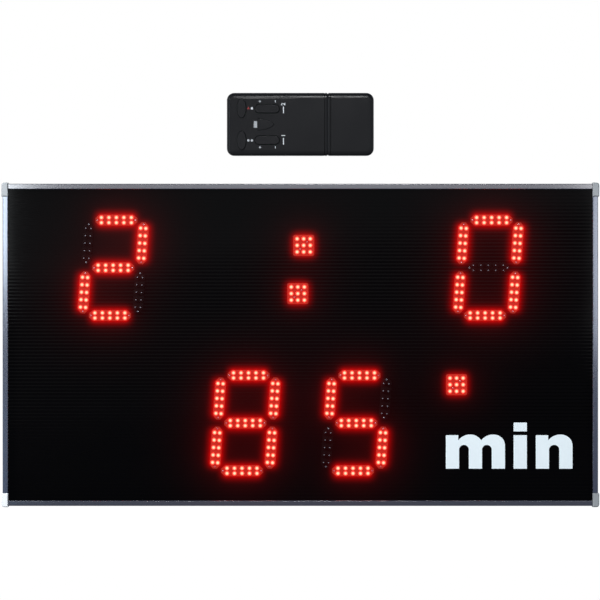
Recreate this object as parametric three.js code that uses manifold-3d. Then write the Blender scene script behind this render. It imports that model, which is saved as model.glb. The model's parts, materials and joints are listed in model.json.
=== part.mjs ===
// Electronic scoreboard: a framed LED board with four seven-segment digits, and its handset.
// Millimetres. X runs to the right as seen from the front, Y to the back, Z up.
// The origin lies under the middle of the board, on the surface that it stands on.
import * as THREE from 'three';
import { mergeVertices } from 'three/addons/utils/BufferGeometryUtils.js';
import Module from 'manifold-3d';

const wasm = await Module();
wasm.setup();

// Fits shared by all pieces
const seatGap = 0.3;
const overrun = 2;
const mergeDistance = 0.0001;

// Frame of the board
const boardWidth = 708;
const boardHeight = 383;
const boardDepth = 44;
const railFace = 6.4;
const railWall = 1.6;
const railBevel = 0.6;
const railEdge = 0.8;
const lipDepth = 11;
const chamberWall = 1.3;
const ribThick = 1.4;

// Corner caps, which stand a little proud of the rails
const capProud = 1.5;
const capReach = 15;
const capCorner = 3.5;
const capEdge = 1;
const plugReach = 14;

// Sheets held in the rails' grooves; the front one is fluted across
const frontSheetThick = 4;
const flutePitch = 4.14;
const fluteSink = 0.35;
const backSheetThick = 2;

// Lamps and the bars and dots that carry them
const lampWidth = 5;
const lampBarrel = 3.6;
const lampHeight = 5.4;
const lampSides = 6;
const moduleThick = 3.2;
const barLength = 50;
const barWidth = 13;
const barTaper = 5.2;
const barTip = 4.8;
const barLamps = 5;
const barPitch = 8.9;
const barRows = 2;
const barRowGap = 6.1;
const dotWidth = 25;
const dotCorner = 2;
const dotLamps = 3;
const dotPitch = 7.8;

// Digits: the upright bars lean, the level bars step aside with them
const digitRise = 56.7;
const uprightRise = 29.2;
const digitReach = 32.6;
const digitLean = THREE.MathUtils.degToRad(3.9);

// Places of the digits: scores from the sides and the top, minutes from the bottom,
// the colon from the scores and the prime mark from the last digit. All of them stand
// a little to the right of the middle.
const displayShift = 0.5;
const scoreInset = 130.9;
const scoreDrop = 99.9;
const minuteSpread = 132;
const minuteRise = 98.4;
const colonSpread = 57.3;
const colonStep = 7;
const colonSink = 2;
const primeAside = 119.3;
const primeRise = 45.7;

// Back of the board
const ventLength = 46;
const ventWidth = 3;
const ventPitch = 9;
const ventCount = 6;
const ventInset = 204;
const ventRise = 20;
const hangerWidth = 60;
const hangerHeight = 26;
const hangerThick = 1.5;
const hangerCorner = 4;
const hangerInset = 114;
const hangerDrop = 60;
const keyholeRadius = 5;
const keySlotRadius = 2.5;
const keySlotRise = 8;
const headRoom = 2.2;
const controlRise = 51.5;

// Power switch
const switchAside = 30;
const rockerRadius = 7.5;
const rockerWidth = 11;
const rockerLift = 2;
const rockerValley = 1.2;
const rockerTilt = THREE.MathUtils.degToRad(10);
const rockerRoot = THREE.MathUtils.degToRad(35);
const rockerFit = 0.4;
const pivotRadius = 1.3;
const pivotReach = 1.4;
const switchWall = 1.9;
const bezelRim = 2;
const bezelThick = 2;
const bladeWidth = 4.8;
const bladeThick = 0.8;
const bladeLength = 6;
const bladeSpread = 9;

// Power inlet
const inletAside = -30;
const inletFlange = 7.5;
const inletFlangeThick = 2;
const inletBarrel = 5.6;
const inletTail = 4.4;
const inletDepth = 15;
const inletShank = 7;
const inletBore = 3.2;
const inletBoreDepth = 9.5;
const inletPin = 1.05;
const inletPinLength = 8.5;
const inletSides = 12;

// Circuit boards behind the front sheet
const boardThick = 1.6;
const standoffRadius = 3;
const standoffLength = 5;
const controllerWidth = 150;
const controllerHeight = 90;
const standoffInset = 6;
const chipWidth = 18;
const chipHeight = 12;
const chipThick = 2.6;
const capacitorRadius = 5;
const capacitorHeight = 11;
const sounderRadius = 11;
const sounderHeight = 9;
const headerWidth = 22;
const headerHeight = 7;
const headerThick = 9;
const headerPitch = 31;
const headerCount = 4;
const receiverWidth = 46;
const receiverHeight = 30;
const receiverInset = 164;
const receiverDrop = 86.5;
const canWidth = 14;
const canHeight = 11;
const canThick = 3;
const aerialRadius = 1.6;
const aerialLength = 62;

// Handset casing, lying above the board with its back in line with the board's back
const handsetLength = 175;
const handsetHeight = 75;
const handsetDepth = 23;
const handsetLift = 31.9;
const caseCorner = 8.8;
const caseEdge = 4.8;
const caseWall = 2;
const caseSplit = 11.5;
const lipThick = 1.2;
const lipRise = 1.6;
const lipRoot = 3;
const seamStart = 118.6;
const grooveWidth = 3;
const grooveSink = 0.9;
const beadWidth = 2;
const hookLength = 4;
const hookThick = 1.5;
const hookWidth = 26;

// Keys of the handset, measured from its left end and its middle
const keyFit = 0.3;
const keyProud = 1.2;
const keyEdge = 0.5;
const keyFlange = 1.5;
const keyFlangeThick = 1.2;
const keyTravel = 0.8;
const stemRadius = 2.2;
const ovalWidth = 10.8;
const ovalHeight = 23;
const ovalPlace = 17.6;
const ovalRise = 19.1;
const modeLength = 18.9;
const modeHeight = 13.8;
const modePlace = 46.6;
const teamLength = 29.3;
const teamWidth = 10.4;
const teamPlace = 48;
const teamRise = 18.7;
const teamFit = 0.5;
const teamTilt = THREE.MathUtils.degToRad(3.5);
const teamStemReach = 9.5;
const wingGap = 0.6;
const wingWidth = 5;
const wingReach = 1.6;
const wingThick = 1.4;
const fulcrumThick = 1;

// Inside the handset
const circuitDepth = 12.5;
const circuitLength = 108;
const circuitInset = 5.2;
const postRadius = 2.6;
const postInset = 6;
const tactWidth = 6;
const tactThick = 3.5;
const plungerRadius = 1.75;
const plungerRise = 1;
const cellRadius = 7.25;
const cellLength = 50.5;
const cellNub = 2.7;
const cellNubRise = 1.3;
const cellSpacing = 17;
const cellRest = 1;
const trayWall = 1.5;
const trayGap = 1.2;
const cradleHeight = 6;
const cradleSpread = 28;
const bridgeWidth = 24;
const bridgeHeight = 8;
const bridgeThick = 0.6;

// Depths and levels that several pieces share
const frameFront = -boardDepth / 2;
const frameBack = boardDepth / 2;
const frontGroove = frameFront + lipDepth;
const frontSheetFace = frontGroove + seatGap;
const frontSheetBack = frontSheetFace + frontSheetThick;
const frontGrooveEnd = frontSheetBack + seatGap;
const backGrooveEnd = frameBack - railWall;
const backSheetBack = backGrooveEnd - seatGap;
const backSheetFace = backSheetBack - backSheetThick;
const backGroove = backSheetFace - seatGap;
const backPlane = frameBack + capProud;
const fittingSeat = backSheetBack + seatGap;
const bezelBack = fittingSeat + bezelThick;
const rockerPivotDepth = backPlane - rockerRadius * Math.sin(
  Math.asin(rockerLift / rockerRadius) + rockerTilt) - seatGap / 2;

const slate = { color: 0x16161a, roughness: 0.55, metalness: 0 };
const aluminium = { color: 0x8f98a8, roughness: 0.35, metalness: 0.9 };
const greyPlastic = { color: 0x9aa6ad, roughness: 0.5, metalness: 0 };
const darkSheet = { color: 0x141012, roughness: 0.4, metalness: 0 };
const blackPlastic = { color: 0x1b1b1d, roughness: 0.5, metalness: 0 };
const charcoal = { color: 0x2b2c2f, roughness: 0.6, metalness: 0 };
const keyPlastic = { color: 0x333438, roughness: 0.5, metalness: 0 };
const circuitGreen = { color: 0x1f5a35, roughness: 0.5, metalness: 0 };
const zinc = { color: 0xa9adb2, roughness: 0.4, metalness: 0.9 };
const cellJacket = { color: 0x5a5f66, roughness: 0.35, metalness: 0.4 };

// A closed mesh becomes a solid once its shared corners are merged
function toSolid(geometry) {
  geometry.deleteAttribute('normal');
  geometry.deleteAttribute('uv');
  const merged = mergeVertices(geometry, mergeDistance);
  const corners = merged.index.array;
  const kept = [];
  for (let i = 0; i < corners.length; i += 3) {
    const [a, b, c] = corners.slice(i, i + 3);
    if (a !== b && b !== c && c !== a) kept.push(a, b, c);
  }
  return new wasm.Manifold(new wasm.Mesh({
    numProp: 3,
    vertProperties: new Float32Array(merged.attributes.position.array),
    triVerts: new Uint32Array(kept),
  }));
}

function toGeometry(solid) {
  const mesh = solid.getMesh();
  const geometry = new THREE.BufferGeometry();
  geometry.setAttribute('position', new THREE.BufferAttribute(mesh.vertProperties, 3));
  geometry.setIndex(new THREE.BufferAttribute(mesh.triVerts, 1));
  geometry.computeVertexNormals();
  return geometry;
}

function join(first, ...others) {
  return others.reduce((whole, other) => whole.add(other), first);
}

function cut(body, ...tools) {
  return tools.reduce((rest, tool) => rest.subtract(tool), body);
}

function piece(name, solid, look) {
  const mesh = new THREE.Mesh(toGeometry(solid), new THREE.MeshStandardMaterial(look));
  mesh.name = name;
  return mesh;
}

// Turns a section drawn in depth and height so that its length runs along X
const sideways = new THREE.Matrix4().makeBasis(
  new THREE.Vector3(0, 1, 0), new THREE.Vector3(0, 0, 1), new THREE.Vector3(1, 0, 0));

// A box between two values along each axis
function block([x0, x1], [y0, y1], [z0, z1]) {
  const box = new THREE.BoxGeometry(Math.abs(x1 - x0), Math.abs(y1 - y0), Math.abs(z1 - z0));
  box.translate((x0 + x1) / 2, (y0 + y1) / 2, (z0 + z1) / 2);
  return toSolid(box);
}

function centred(size, middle = 0) {
  return [middle - size / 2, middle + size / 2];
}

// An outline drawn as seen from the front becomes a slab between two depths
function slab(shape, front, back, edge = 0, edgeSteps = 1, curveSegments = 2) {
  const geometry = new THREE.ExtrudeGeometry(shape, {
    depth: back - front - 2 * edge,
    bevelEnabled: edge > 0,
    bevelThickness: edge,
    bevelSize: edge,
    bevelOffset: -edge,
    bevelSegments: edgeSteps,
    curveSegments,
  });
  geometry.translate(0, 0, edge);
  geometry.rotateX(Math.PI / 2);
  geometry.translate(0, back, 0);
  return toSolid(geometry);
}

// A profile turned about an axis that runs to the front or to the back
function turned(profile, sides, towardsBack = false) {
  const points = profile.map(([radius, height]) => new THREE.Vector2(radius, height));
  const geometry = new THREE.LatheGeometry(points, sides);
  if (!towardsBack) geometry.rotateX(Math.PI);
  return toSolid(geometry);
}

function rod(radius, front, back, x = 0, z = 0, sides = 8) {
  const profile = [[0, 0], [radius, 0], [radius, back - front], [0, back - front]];
  return turned(profile, sides, true).translate([x, front, z]);
}

function roundedRect(width, height, radius, x = 0, y = 0) {
  const shape = new THREE.Shape();
  const right = x + width / 2 - radius;
  const left = x - width / 2 + radius;
  const top = y + height / 2 - radius;
  const bottom = y - height / 2 + radius;
  shape.absarc(right, top, radius, 0, Math.PI / 2);
  shape.absarc(left, top, radius, Math.PI / 2, Math.PI);
  shape.absarc(left, bottom, radius, Math.PI, Math.PI * 3 / 2);
  shape.absarc(right, bottom, radius, Math.PI * 3 / 2, Math.PI * 2);
  return shape;
}

function polygon(points) {
  return new THREE.Shape(points.map(([x, y]) => new THREE.Vector2(x, y)));
}

function rectangle([x0, x1], [y0, y1]) {
  return polygon([[x0, y0], [x1, y0], [x1, y1], [x0, y1]]);
}

// Rail section: rounded outer edge, bevelled hollow lip, a groove for each sheet
function railSection() {
  const shape = new THREE.Shape();
  const innerBack = backGroove - ribThick;
  const innerFront = frontGrooveEnd + ribThick;
  shape.moveTo(0, frameBack);
  shape.lineTo(railFace, frameBack);
  shape.lineTo(railFace, backGrooveEnd);
  shape.lineTo(railWall, backGrooveEnd);
  shape.lineTo(railWall, backGroove);
  shape.lineTo(railFace, backGroove);
  shape.lineTo(railFace, innerBack);
  shape.lineTo(railWall, innerBack);
  shape.lineTo(railWall, innerFront);
  shape.lineTo(railFace, innerFront);
  shape.lineTo(railFace, frontGrooveEnd);
  shape.lineTo(railWall, frontGrooveEnd);
  shape.lineTo(railWall, frontGroove);
  shape.lineTo(railFace, frontGroove);
  shape.lineTo(railFace, frameFront + railBevel);
  shape.lineTo(railFace - railBevel, frameFront);
  shape.lineTo(railEdge, frameFront);
  shape.absarc(railEdge, frameFront + railEdge, railEdge, -Math.PI / 2, -Math.PI, true);
  shape.holes.push(rectangle([railWall, railFace - chamberWall],
    [frameFront + railWall, frontGroove - chamberWall]));
  return shape;
}

function railSolid(length) {
  const geometry = new THREE.ExtrudeGeometry(railSection(), {
    depth: length, bevelEnabled: false, curveSegments: 2,
  });
  geometry.translate(0, 0, -length / 2);
  return toSolid(geometry);
}

function rails() {
  const across = boardWidth - 2 * (railFace + seatGap);
  const upright = boardHeight - 2 * (capReach + seatGap);
  const places = [
    ['left_rail', upright, -boardWidth / 2, 0, 0],
    ['top_rail', across, 0, boardHeight / 2, Math.PI / 2],
    ['right_rail', upright, boardWidth / 2, 0, Math.PI],
    ['bottom_rail', across, 0, -boardHeight / 2, -Math.PI / 2],
  ];
  return places.map(([name, length, x, z, turn]) => {
    const rail = piece(name, railSolid(length), aluminium);
    rail.position.set(x, 0, z);
    rail.rotation.y = turn;
    return rail;
  });
}

// A plug for the hollow lip and one for the open channel, from a cap into a rail.
// along and across are spans of the plug, taken from the frame's outer corner.
function plugs(place) {
  const start = railWall + seatGap;
  const lip = [start, railFace - chamberWall - seatGap];
  const channel = [start, railFace - seatGap];
  const lipDepths = [frameFront + railWall + seatGap, frontGroove - chamberWall - seatGap];
  const channelDepths = [frontGrooveEnd + ribThick + seatGap, backGroove - ribThick - seatGap];
  return join(place(lip, lipDepths), place(channel, channelDepths));
}

// hand is 1 for a cap at the lower left or upper right, and -1 for the other two
function capSolid(hand) {
  const shape = new THREE.Shape();
  shape.moveTo(hand * railFace, -capProud);
  shape.lineTo(hand * railFace, capReach);
  shape.lineTo(-hand * capProud, capReach);
  const middle = capCorner - capProud;
  const from = hand > 0 ? Math.PI : 0;
  shape.absarc(hand * middle, middle, capCorner, from, from + hand * Math.PI / 2, hand < 0);
  const body = slab(shape, frameFront - capProud, backPlane, capEdge);
  const slots = [[frontGroove, frontGrooveEnd], [backGroove, backGrooveEnd]].map((depths) =>
    block([hand * railWall, hand * (railFace + overrun)], depths, [railWall, capReach + overrun]));
  const sideways = plugs((across, depths) => block(
    [hand * (railFace - railWall), hand * (railFace + plugReach)], depths, across));
  const upwards = plugs((across, depths) => block(
    across.map((x) => hand * x), depths, [capReach - railWall, capReach + plugReach]));
  return join(cut(body, ...slots), sideways, upwards);
}

function cornerCaps() {
  const places = [
    ['corner_cap_lower_left', 1, -1, -1],
    ['corner_cap_lower_right', -1, 1, -1],
    ['corner_cap_upper_left', -1, -1, 1],
    ['corner_cap_upper_right', 1, 1, 1],
  ];
  return places.map(([name, hand, right, up]) => {
    const cap = piece(name, capSolid(hand), greyPlastic);
    cap.position.set(right * boardWidth / 2, 0, up * boardHeight / 2);
    cap.rotation.y = up > 0 ? Math.PI : 0;
    return cap;
  });
}

function sheetSpans() {
  const inset = railWall + seatGap;
  return [centred(boardWidth - 2 * inset), centred(boardHeight - 2 * inset)];
}

// The front sheet's face sinks a little between the walls of its flutes
function frontSheet() {
  const [[left, right], [low, high]] = sheetSpans();
  const flutes = Math.floor((high - low) / flutePitch);
  const start = (low + high - flutes * flutePitch) / 2;
  const face = [[frontSheetFace, low], [frontSheetFace, start]];
  for (let i = 0; i < flutes; i += 1) {
    const floor = start + (i + 1 / 2) * flutePitch;
    face.push([frontSheetFace + fluteSink, floor]);
    face.push([frontSheetFace, floor + flutePitch / 2]);
  }
  face.push([frontSheetFace, high], [frontSheetBack, high], [frontSheetBack, low]);
  const geometry = new THREE.ExtrudeGeometry(polygon(face), {
    depth: right - left, bevelEnabled: false,
  });
  geometry.translate(0, 0, left);
  geometry.applyMatrix4(sideways);
  return piece('front_sheet', toSolid(geometry), darkSheet);
}

// The round-ended opening behind a keyhole takes the head of the screw that it hangs on
function headOpening(x) {
  const width = 2 * (keyholeRadius + headRoom);
  const height = width + keySlotRise;
  return roundedRect(width, height, width / 2, x, hangerLevel() + keySlotRise / 2);
}

function hangerLevel() {
  return boardHeight / 2 - hangerDrop;
}

function hangerAside() {
  return boardWidth / 2 - hangerInset;
}

// Level of the power switch and the inlet
function controlLevel() {
  return controlRise - boardHeight / 2;
}

function vents() {
  const slots = [];
  for (const side of [-1, 1]) {
    for (let i = 0; i < ventCount; i += 1) {
      const level = ventRise + (i - (ventCount - 1) / 2) * ventPitch;
      slots.push(block(centred(ventLength, side * (boardWidth / 2 - ventInset)),
        [backSheetFace - overrun, backSheetBack + overrun], centred(ventWidth, level)));
    }
  }
  return slots;
}

function backSheet() {
  const shape = rectangle(...sheetSpans());
  shape.holes.push(headOpening(-hangerAside()), headOpening(hangerAside()));
  const [width, height] = switchBody();
  shape.holes.push(rectangle(centred(width + 2 * seatGap, switchAside),
    centred(height + 2 * seatGap, controlLevel())));
  const sheet = slab(shape, backSheetFace, backSheetBack, 0, 1, 4);
  const entry = rod(inletBarrel + seatGap, backSheetFace - overrun, backSheetBack + overrun,
    inletAside, controlLevel(), inletSides);
  return piece('back_sheet', cut(sheet, entry, ...vents()), blackPlastic);
}

// Keyhole: a round entry with a narrower slot above it
function keyhole() {
  const path = new THREE.Path();
  const half = Math.asin(keySlotRadius / keyholeRadius);
  path.absarc(0, 0, keyholeRadius, Math.PI / 2 + half, Math.PI * 5 / 2 - half);
  path.absarc(0, keySlotRise, keySlotRadius, 0, Math.PI);
  return path;
}

function hangerPlates() {
  return [['hanger_left', -1], ['hanger_right', 1]].map(([name, side]) => {
    const shape = roundedRect(hangerWidth, hangerHeight, hangerCorner, 0, keySlotRise / 2);
    shape.holes.push(keyhole());
    const plate = piece(name, slab(shape, 0, hangerThick, 0, 1, 5), zinc);
    plate.position.set(side * hangerAside(), fittingSeat, hangerLevel());
    return plate;
  });
}

// A lamp: a barrel with a pointed dome, standing on the face of its module
function lamp(x, z) {
  const sunk = moduleThick / 2;
  const profile = [[0, 0], [lampWidth / 2, 0], [lampWidth / 2, sunk + lampBarrel],
    [0, sunk + lampHeight]];
  return turned(profile, lampSides).translate([x, -sunk, z]);
}

function lampGrid(columns, rows, pitch, rowGap) {
  const lamps = [];
  for (let column = 0; column < columns; column += 1) {
    for (let row = 0; row < rows; row += 1) {
      lamps.push(lamp((column - (columns - 1) / 2) * pitch, (row - (rows - 1) / 2) * rowGap));
    }
  }
  return lamps;
}

// A bar lies along X; its back is at depth 0, and both ends narrow to a short tip
function barSolid() {
  const end = barLength / 2;
  const shoulder = end - barTaper;
  const outline = polygon([
    [end, -barTip / 2], [end, barTip / 2], [shoulder, barWidth / 2], [-shoulder, barWidth / 2],
    [-end, barTip / 2], [-end, -barTip / 2], [-shoulder, -barWidth / 2],
    [shoulder, -barWidth / 2],
  ]);
  return join(slab(outline, -moduleThick, 0), ...lampGrid(barLamps, barRows, barPitch, barRowGap));
}

function dotSolid() {
  const outline = roundedRect(dotWidth, dotWidth, dotCorner);
  return join(slab(outline, -moduleThick, 0, 0, 1, 1),
    ...lampGrid(dotLamps, dotLamps, dotPitch, dotPitch));
}

const bar = barSolid();
const dot = dotSolid();
const moduleSeat = frontSheetFace - seatGap;

function digit(name, x, z) {
  const group = new THREE.Group();
  group.position.set(x, moduleSeat, z);
  const lean = Math.tan(digitLean);
  for (const [place, level] of [['top', 1], ['middle', 0], ['bottom', -1]]) {
    const segment = piece(`${name}_${place}_bar`, bar, slate);
    segment.position.set(level * digitRise * lean, 0, level * digitRise);
    group.add(segment);
  }
  for (const [place, level] of [['upper', 1], ['lower', -1]]) {
    for (const [side, hand] of [['left', -1], ['right', 1]]) {
      const segment = piece(`${name}_${place}_${side}_bar`, bar, slate);
      segment.position.set(hand * digitReach + level * uprightRise * lean, 0,
        level * uprightRise);
      segment.rotation.y = digitLean - Math.PI / 2;
      group.add(segment);
    }
  }
  return group;
}

function dotModule(name, x, z) {
  const mesh = piece(name, dot, slate);
  mesh.position.set(x, moduleSeat, z);
  return mesh;
}

function display() {
  const scoreAside = boardWidth / 2 - scoreInset;
  const scoreLevel = boardHeight / 2 - scoreDrop;
  const minuteAside = minuteSpread / 2;
  const minuteLevel = minuteRise - boardHeight / 2;
  const colonLevel = scoreLevel - colonSink;
  return [
    digit('left_score', displayShift - scoreAside, scoreLevel),
    digit('right_score', displayShift + scoreAside, scoreLevel),
    digit('minute_tens', displayShift - minuteAside, minuteLevel),
    digit('minute_units', displayShift + minuteAside, minuteLevel),
    dotModule('colon_upper_dot', displayShift + colonStep / 2, colonLevel + colonSpread / 2),
    dotModule('colon_lower_dot', displayShift - colonStep / 2, colonLevel - colonSpread / 2),
    dotModule('prime_dot', displayShift + minuteAside + primeAside, minuteLevel + primeRise),
  ];
}

// Switch body, across and upright, round the well that the rocker tips in
function switchBody() {
  const width = rockerWidth + 2 * (rockerFit + switchWall);
  const height = 2 * (rockerRadius + rockerFit + switchWall);
  return [width, height];
}

function switchHousing() {
  const [width, height] = switchBody();
  const wellDepth = rockerRadius * Math.sin(rockerRoot + rockerTilt) + rockerFit;
  const floor = rockerPivotDepth - wellDepth;
  const inner = floor - switchWall;
  const body = block(centred(width), [inner, bezelBack], centred(height));
  const bezel = block(centred(width + 2 * bezelRim), [fittingSeat, bezelBack],
    centred(height + 2 * bezelRim));
  const well = block(centred(rockerWidth + 2 * rockerFit), [floor, bezelBack + overrun],
    centred(height - 2 * switchWall));
  const pivots = crossRod(pivotRadius + rockerFit,
    rockerWidth / 2 + pivotReach + seatGap).translate([0, rockerPivotDepth, 0]);
  const blades = [-1, 1].map((side) => block(centred(bladeWidth),
    [inner - bladeLength, inner + switchWall / 2],
    centred(bladeThick, side * bladeSpread / 2)));
  const mesh = piece('power_switch_housing',
    join(cut(join(body, bezel), well, pivots), ...blades), blackPlastic);
  mesh.position.set(switchAside, 0, controlLevel());
  return mesh;
}

// A round bar across, centred, reaching the same way to both sides
function crossRod(radius, reach, sides = 8) {
  const rodGeometry = new THREE.CylinderGeometry(radius, radius, 2 * reach, sides);
  rodGeometry.rotateZ(Math.PI / 2);
  return toSolid(rodGeometry);
}

// The rocker's ends are arcs about its pivot, and its face is a shallow valley
function switchRocker() {
  const shape = new THREE.Shape();
  const lift = Math.asin(rockerLift / rockerRadius);
  shape.absarc(0, 0, rockerRadius, Math.PI / 2 - lift, Math.PI / 2 + rockerRoot);
  shape.absarc(0, 0, rockerRadius, -Math.PI / 2 - rockerRoot, -Math.PI / 2 + lift);
  shape.lineTo(rockerValley, 0);
  const geometry = new THREE.ExtrudeGeometry(shape, {
    depth: rockerWidth, bevelEnabled: false, curveSegments: 2,
  });
  geometry.translate(0, 0, -rockerWidth / 2);
  geometry.applyMatrix4(sideways);
  const paddle = join(toSolid(geometry), crossRod(pivotRadius, rockerWidth / 2 + pivotReach));
  const mesh = piece('power_switch_rocker', paddle, blackPlastic);
  mesh.position.set(switchAside, rockerPivotDepth, controlLevel());
  mesh.rotation.x = rockerTilt;
  return mesh;
}

// Inlet: a flanged barrel through the back sheet, with a pin in its bore
function powerInlet() {
  const mouth = fittingSeat + inletFlangeThick;
  const tail = backSheetFace - inletDepth;
  const boreFloor = mouth - inletBoreDepth;
  const profile = [
    [0, tail], [inletTail, tail], [inletTail, backSheetFace - inletShank],
    [inletBarrel, backSheetFace - inletShank], [inletBarrel, fittingSeat],
    [inletFlange, fittingSeat], [inletFlange, mouth], [inletBore, mouth],
    [inletBore, boreFloor], [inletPin, boreFloor], [inletPin, boreFloor + inletPinLength],
    [0, boreFloor + inletPinLength],
  ];
  const mesh = piece('power_inlet', turned(profile, inletSides, true), blackPlastic);
  mesh.position.set(inletAside, 0, controlLevel());
  return mesh;
}

// A circuit board on four standoffs that stand on the back sheet
function mountedBoard(width, height) {
  const back = backSheetFace - seatGap - standoffLength;
  const board = block(centred(width), [back - boardThick, back], centred(height));
  const posts = [];
  for (const side of [-1, 1]) {
    for (const up of [-1, 1]) {
      posts.push(rod(standoffRadius, back - boardThick / 2, backSheetFace - seatGap,
        side * (width / 2 - standoffInset), up * (height / 2 - standoffInset), 6));
    }
  }
  return { solid: join(board, ...posts), face: back - boardThick };
}

function controllerBoard() {
  const { solid, face } = mountedBoard(controllerWidth, controllerHeight);
  const sunk = face + boardThick / 2;
  const headers = [];
  for (let i = 0; i < headerCount; i += 1) {
    headers.push(block(centred(headerWidth, (i - (headerCount - 1) / 2) * headerPitch),
      [face - headerThick, sunk], centred(headerHeight, controllerHeight / 2 - headerHeight)));
  }
  const chip = block(centred(chipWidth), [face - chipThick, sunk], centred(chipHeight));
  const capacitors = [-1, 1].map((side) => rod(capacitorRadius, face - capacitorHeight, sunk,
    side * (chipWidth + capacitorRadius), -capacitorRadius, 10));
  const sounder = rod(sounderRadius, face - sounderHeight, sunk,
    controllerWidth / 2 - 2 * sounderRadius, -sounderRadius, 12);
  return piece('controller_board', join(solid, chip, sounder, ...headers, ...capacitors),
    circuitGreen);
}

function receiverModule() {
  const { solid, face } = mountedBoard(receiverWidth, receiverHeight);
  const sunk = face + boardThick / 2;
  const can = block(centred(canWidth), [face - canThick, sunk], centred(canHeight));
  const aerial = new THREE.CylinderGeometry(aerialRadius, aerialRadius, aerialLength, 6);
  aerial.rotateX(Math.PI / 2);
  aerial.translate(receiverWidth / 2 - standoffInset, face - aerialRadius / 2, aerialLength / 2);
  const mesh = piece('receiver_module', join(solid, can, toSolid(aerial)), circuitGreen);
  mesh.position.set(boardWidth / 2 - receiverInset, 0, boardHeight / 2 - receiverDrop);
  return mesh;
}

// Handset outlines, taken in from the outside of its casing
function caseOutline(inset) {
  return roundedRect(handsetLength - 2 * inset, handsetHeight - 2 * inset, caseCorner - inset);
}

function caseBody(inset, edgeSteps, curveSegments) {
  return slab(caseOutline(inset), inset - handsetDepth, -inset, caseEdge - inset, edgeSteps,
    curveSegments);
}

const caseFrontFace = -handsetDepth;
const splitDepth = caseFrontFace + caseSplit;
const wallInside = caseFrontFace + caseWall;
const circuitFace = caseFrontFace + circuitDepth;
const leftEnd = -handsetLength / 2;
const seamLeft = leftEnd + seamStart;
const grooveRight = seamLeft + grooveWidth;
const seamRight = grooveRight + beadWidth;
const plungerTip = circuitFace - tactThick - plungerRise;
const outside = [leftEnd - overrun, -leftEnd + overrun];
const tall = centred(handsetHeight + 2 * overrun);
const frontHalf = [caseFrontFace - overrun, splitDepth];

function ovalKey(grow) {
  const shape = new THREE.Shape();
  shape.absellipse(0, 0, ovalWidth / 2 + grow, ovalHeight / 2 + grow, 0, 2 * Math.PI);
  return shape;
}

// The mode key is flat at its left and runs to a point at its right
function modeKey(grow) {
  const end = modeLength / 2 + grow;
  const top = modeHeight / 2 + grow;
  const shape = new THREE.Shape();
  shape.moveTo(-end, -top);
  shape.quadraticCurveTo(end / 3, -top, end, 0);
  shape.quadraticCurveTo(end / 3, top, -end, top);
  return shape;
}

function teamKey(grow) {
  const width = teamWidth + 2 * grow;
  return roundedRect(teamLength + 2 * grow, width, width / 2);
}

const pushKeys = [
  ['start_stop_button', ovalKey, ovalPlace, ovalRise],
  ['set_reset_button', ovalKey, ovalPlace, -ovalRise],
  ['mode_button', modeKey, modePlace, 0],
];
const teamKeys = [['team_2_rocker', teamRise], ['team_1_rocker', -teamRise]];

function keySegments(outline) {
  return outline === ovalKey ? 8 : 3;
}

function pushButton([name, outline, place, rise]) {
  const segments = keySegments(outline);
  const flangeFront = wallInside + seatGap;
  const flangeBack = flangeFront + keyFlangeThick;
  const cap = slab(outline(0), caseFrontFace - keyProud, flangeBack, keyEdge, 1, segments);
  const flange = slab(outline(keyFlange), flangeFront, flangeBack, 0, 1, segments);
  const stem = rod(stemRadius, flangeFront, plungerTip - keyTravel - seatGap);
  const mesh = piece(name, join(cap, flange, stem), keyPlastic);
  mesh.position.set(leftEnd + place, 0, rise);
  return mesh;
}

// A team key tips on a rib behind its middle; wings keep it from falling out
function teamRocker([name, rise]) {
  const back = wallInside + wingGap + wingThick;
  const cap = slab(teamKey(0), caseFrontFace - keyProud, back, keyEdge);
  const wings = block(centred(wingWidth), [back - wingThick, back],
    centred(teamWidth + 2 * (teamFit + wingReach)));
  const travel = teamStemReach * Math.sin(teamTilt);
  const stems = [-1, 1].map((side) => rod(stemRadius, back - wingThick,
    plungerTip - travel - seatGap, side * teamStemReach));
  const fulcrum = block(centred(fulcrumThick), [back - wingThick, circuitFace - seatGap],
    centred(teamWidth - 2 * keyEdge));
  const mesh = piece(name, join(cap, wings, fulcrum, ...stems), keyPlastic);
  mesh.position.set(leftEnd + teamPlace, 0, rise);
  return mesh;
}

// Front shell: a groove and a bead run round its end, where the battery cover meets it
function caseFront(outer, inner) {
  const main = outer.intersect(block([outside[0], seamLeft], frontHalf, tall));
  const groove = caseBody(grooveSink, 3, 2).intersect(
    block([seamLeft - caseWall, seamRight], frontHalf, tall));
  const bead = outer.intersect(block([grooveRight, seamRight], frontHalf, tall));
  const holes = pushKeys.map(([, outline, place, rise]) =>
    slab(outline(keyFit), caseFrontFace - overrun, wallInside + overrun, 0, 1,
      keySegments(outline)).translate([leftEnd + place, 0, rise]));
  const slots = teamKeys.map(([, rise]) =>
    slab(teamKey(teamFit), caseFrontFace - overrun, wallInside + overrun)
      .translate([leftEnd + teamPlace, 0, rise]));
  return piece('case_front', cut(join(main, groove, bead), inner, ...holes, ...slots),
    charcoal);
}

// The cover takes the rest of the front and slides off the end
function batteryCover(outer, inner) {
  const start = seamRight + seatGap;
  const shell = outer.intersect(block([start, outside[1]], frontHalf, tall)).subtract(inner);
  const hookFront = wallInside + seatGap;
  const hook = block([seamRight - hookLength, start + hookLength],
    [hookFront, hookFront + hookThick], centred(hookWidth));
  const web = block([start, start + hookLength], [wallInside - caseWall / 2, hookFront + hookThick],
    centred(hookWidth));
  return piece('battery_cover', join(shell, hook, web), charcoal);
}

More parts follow.
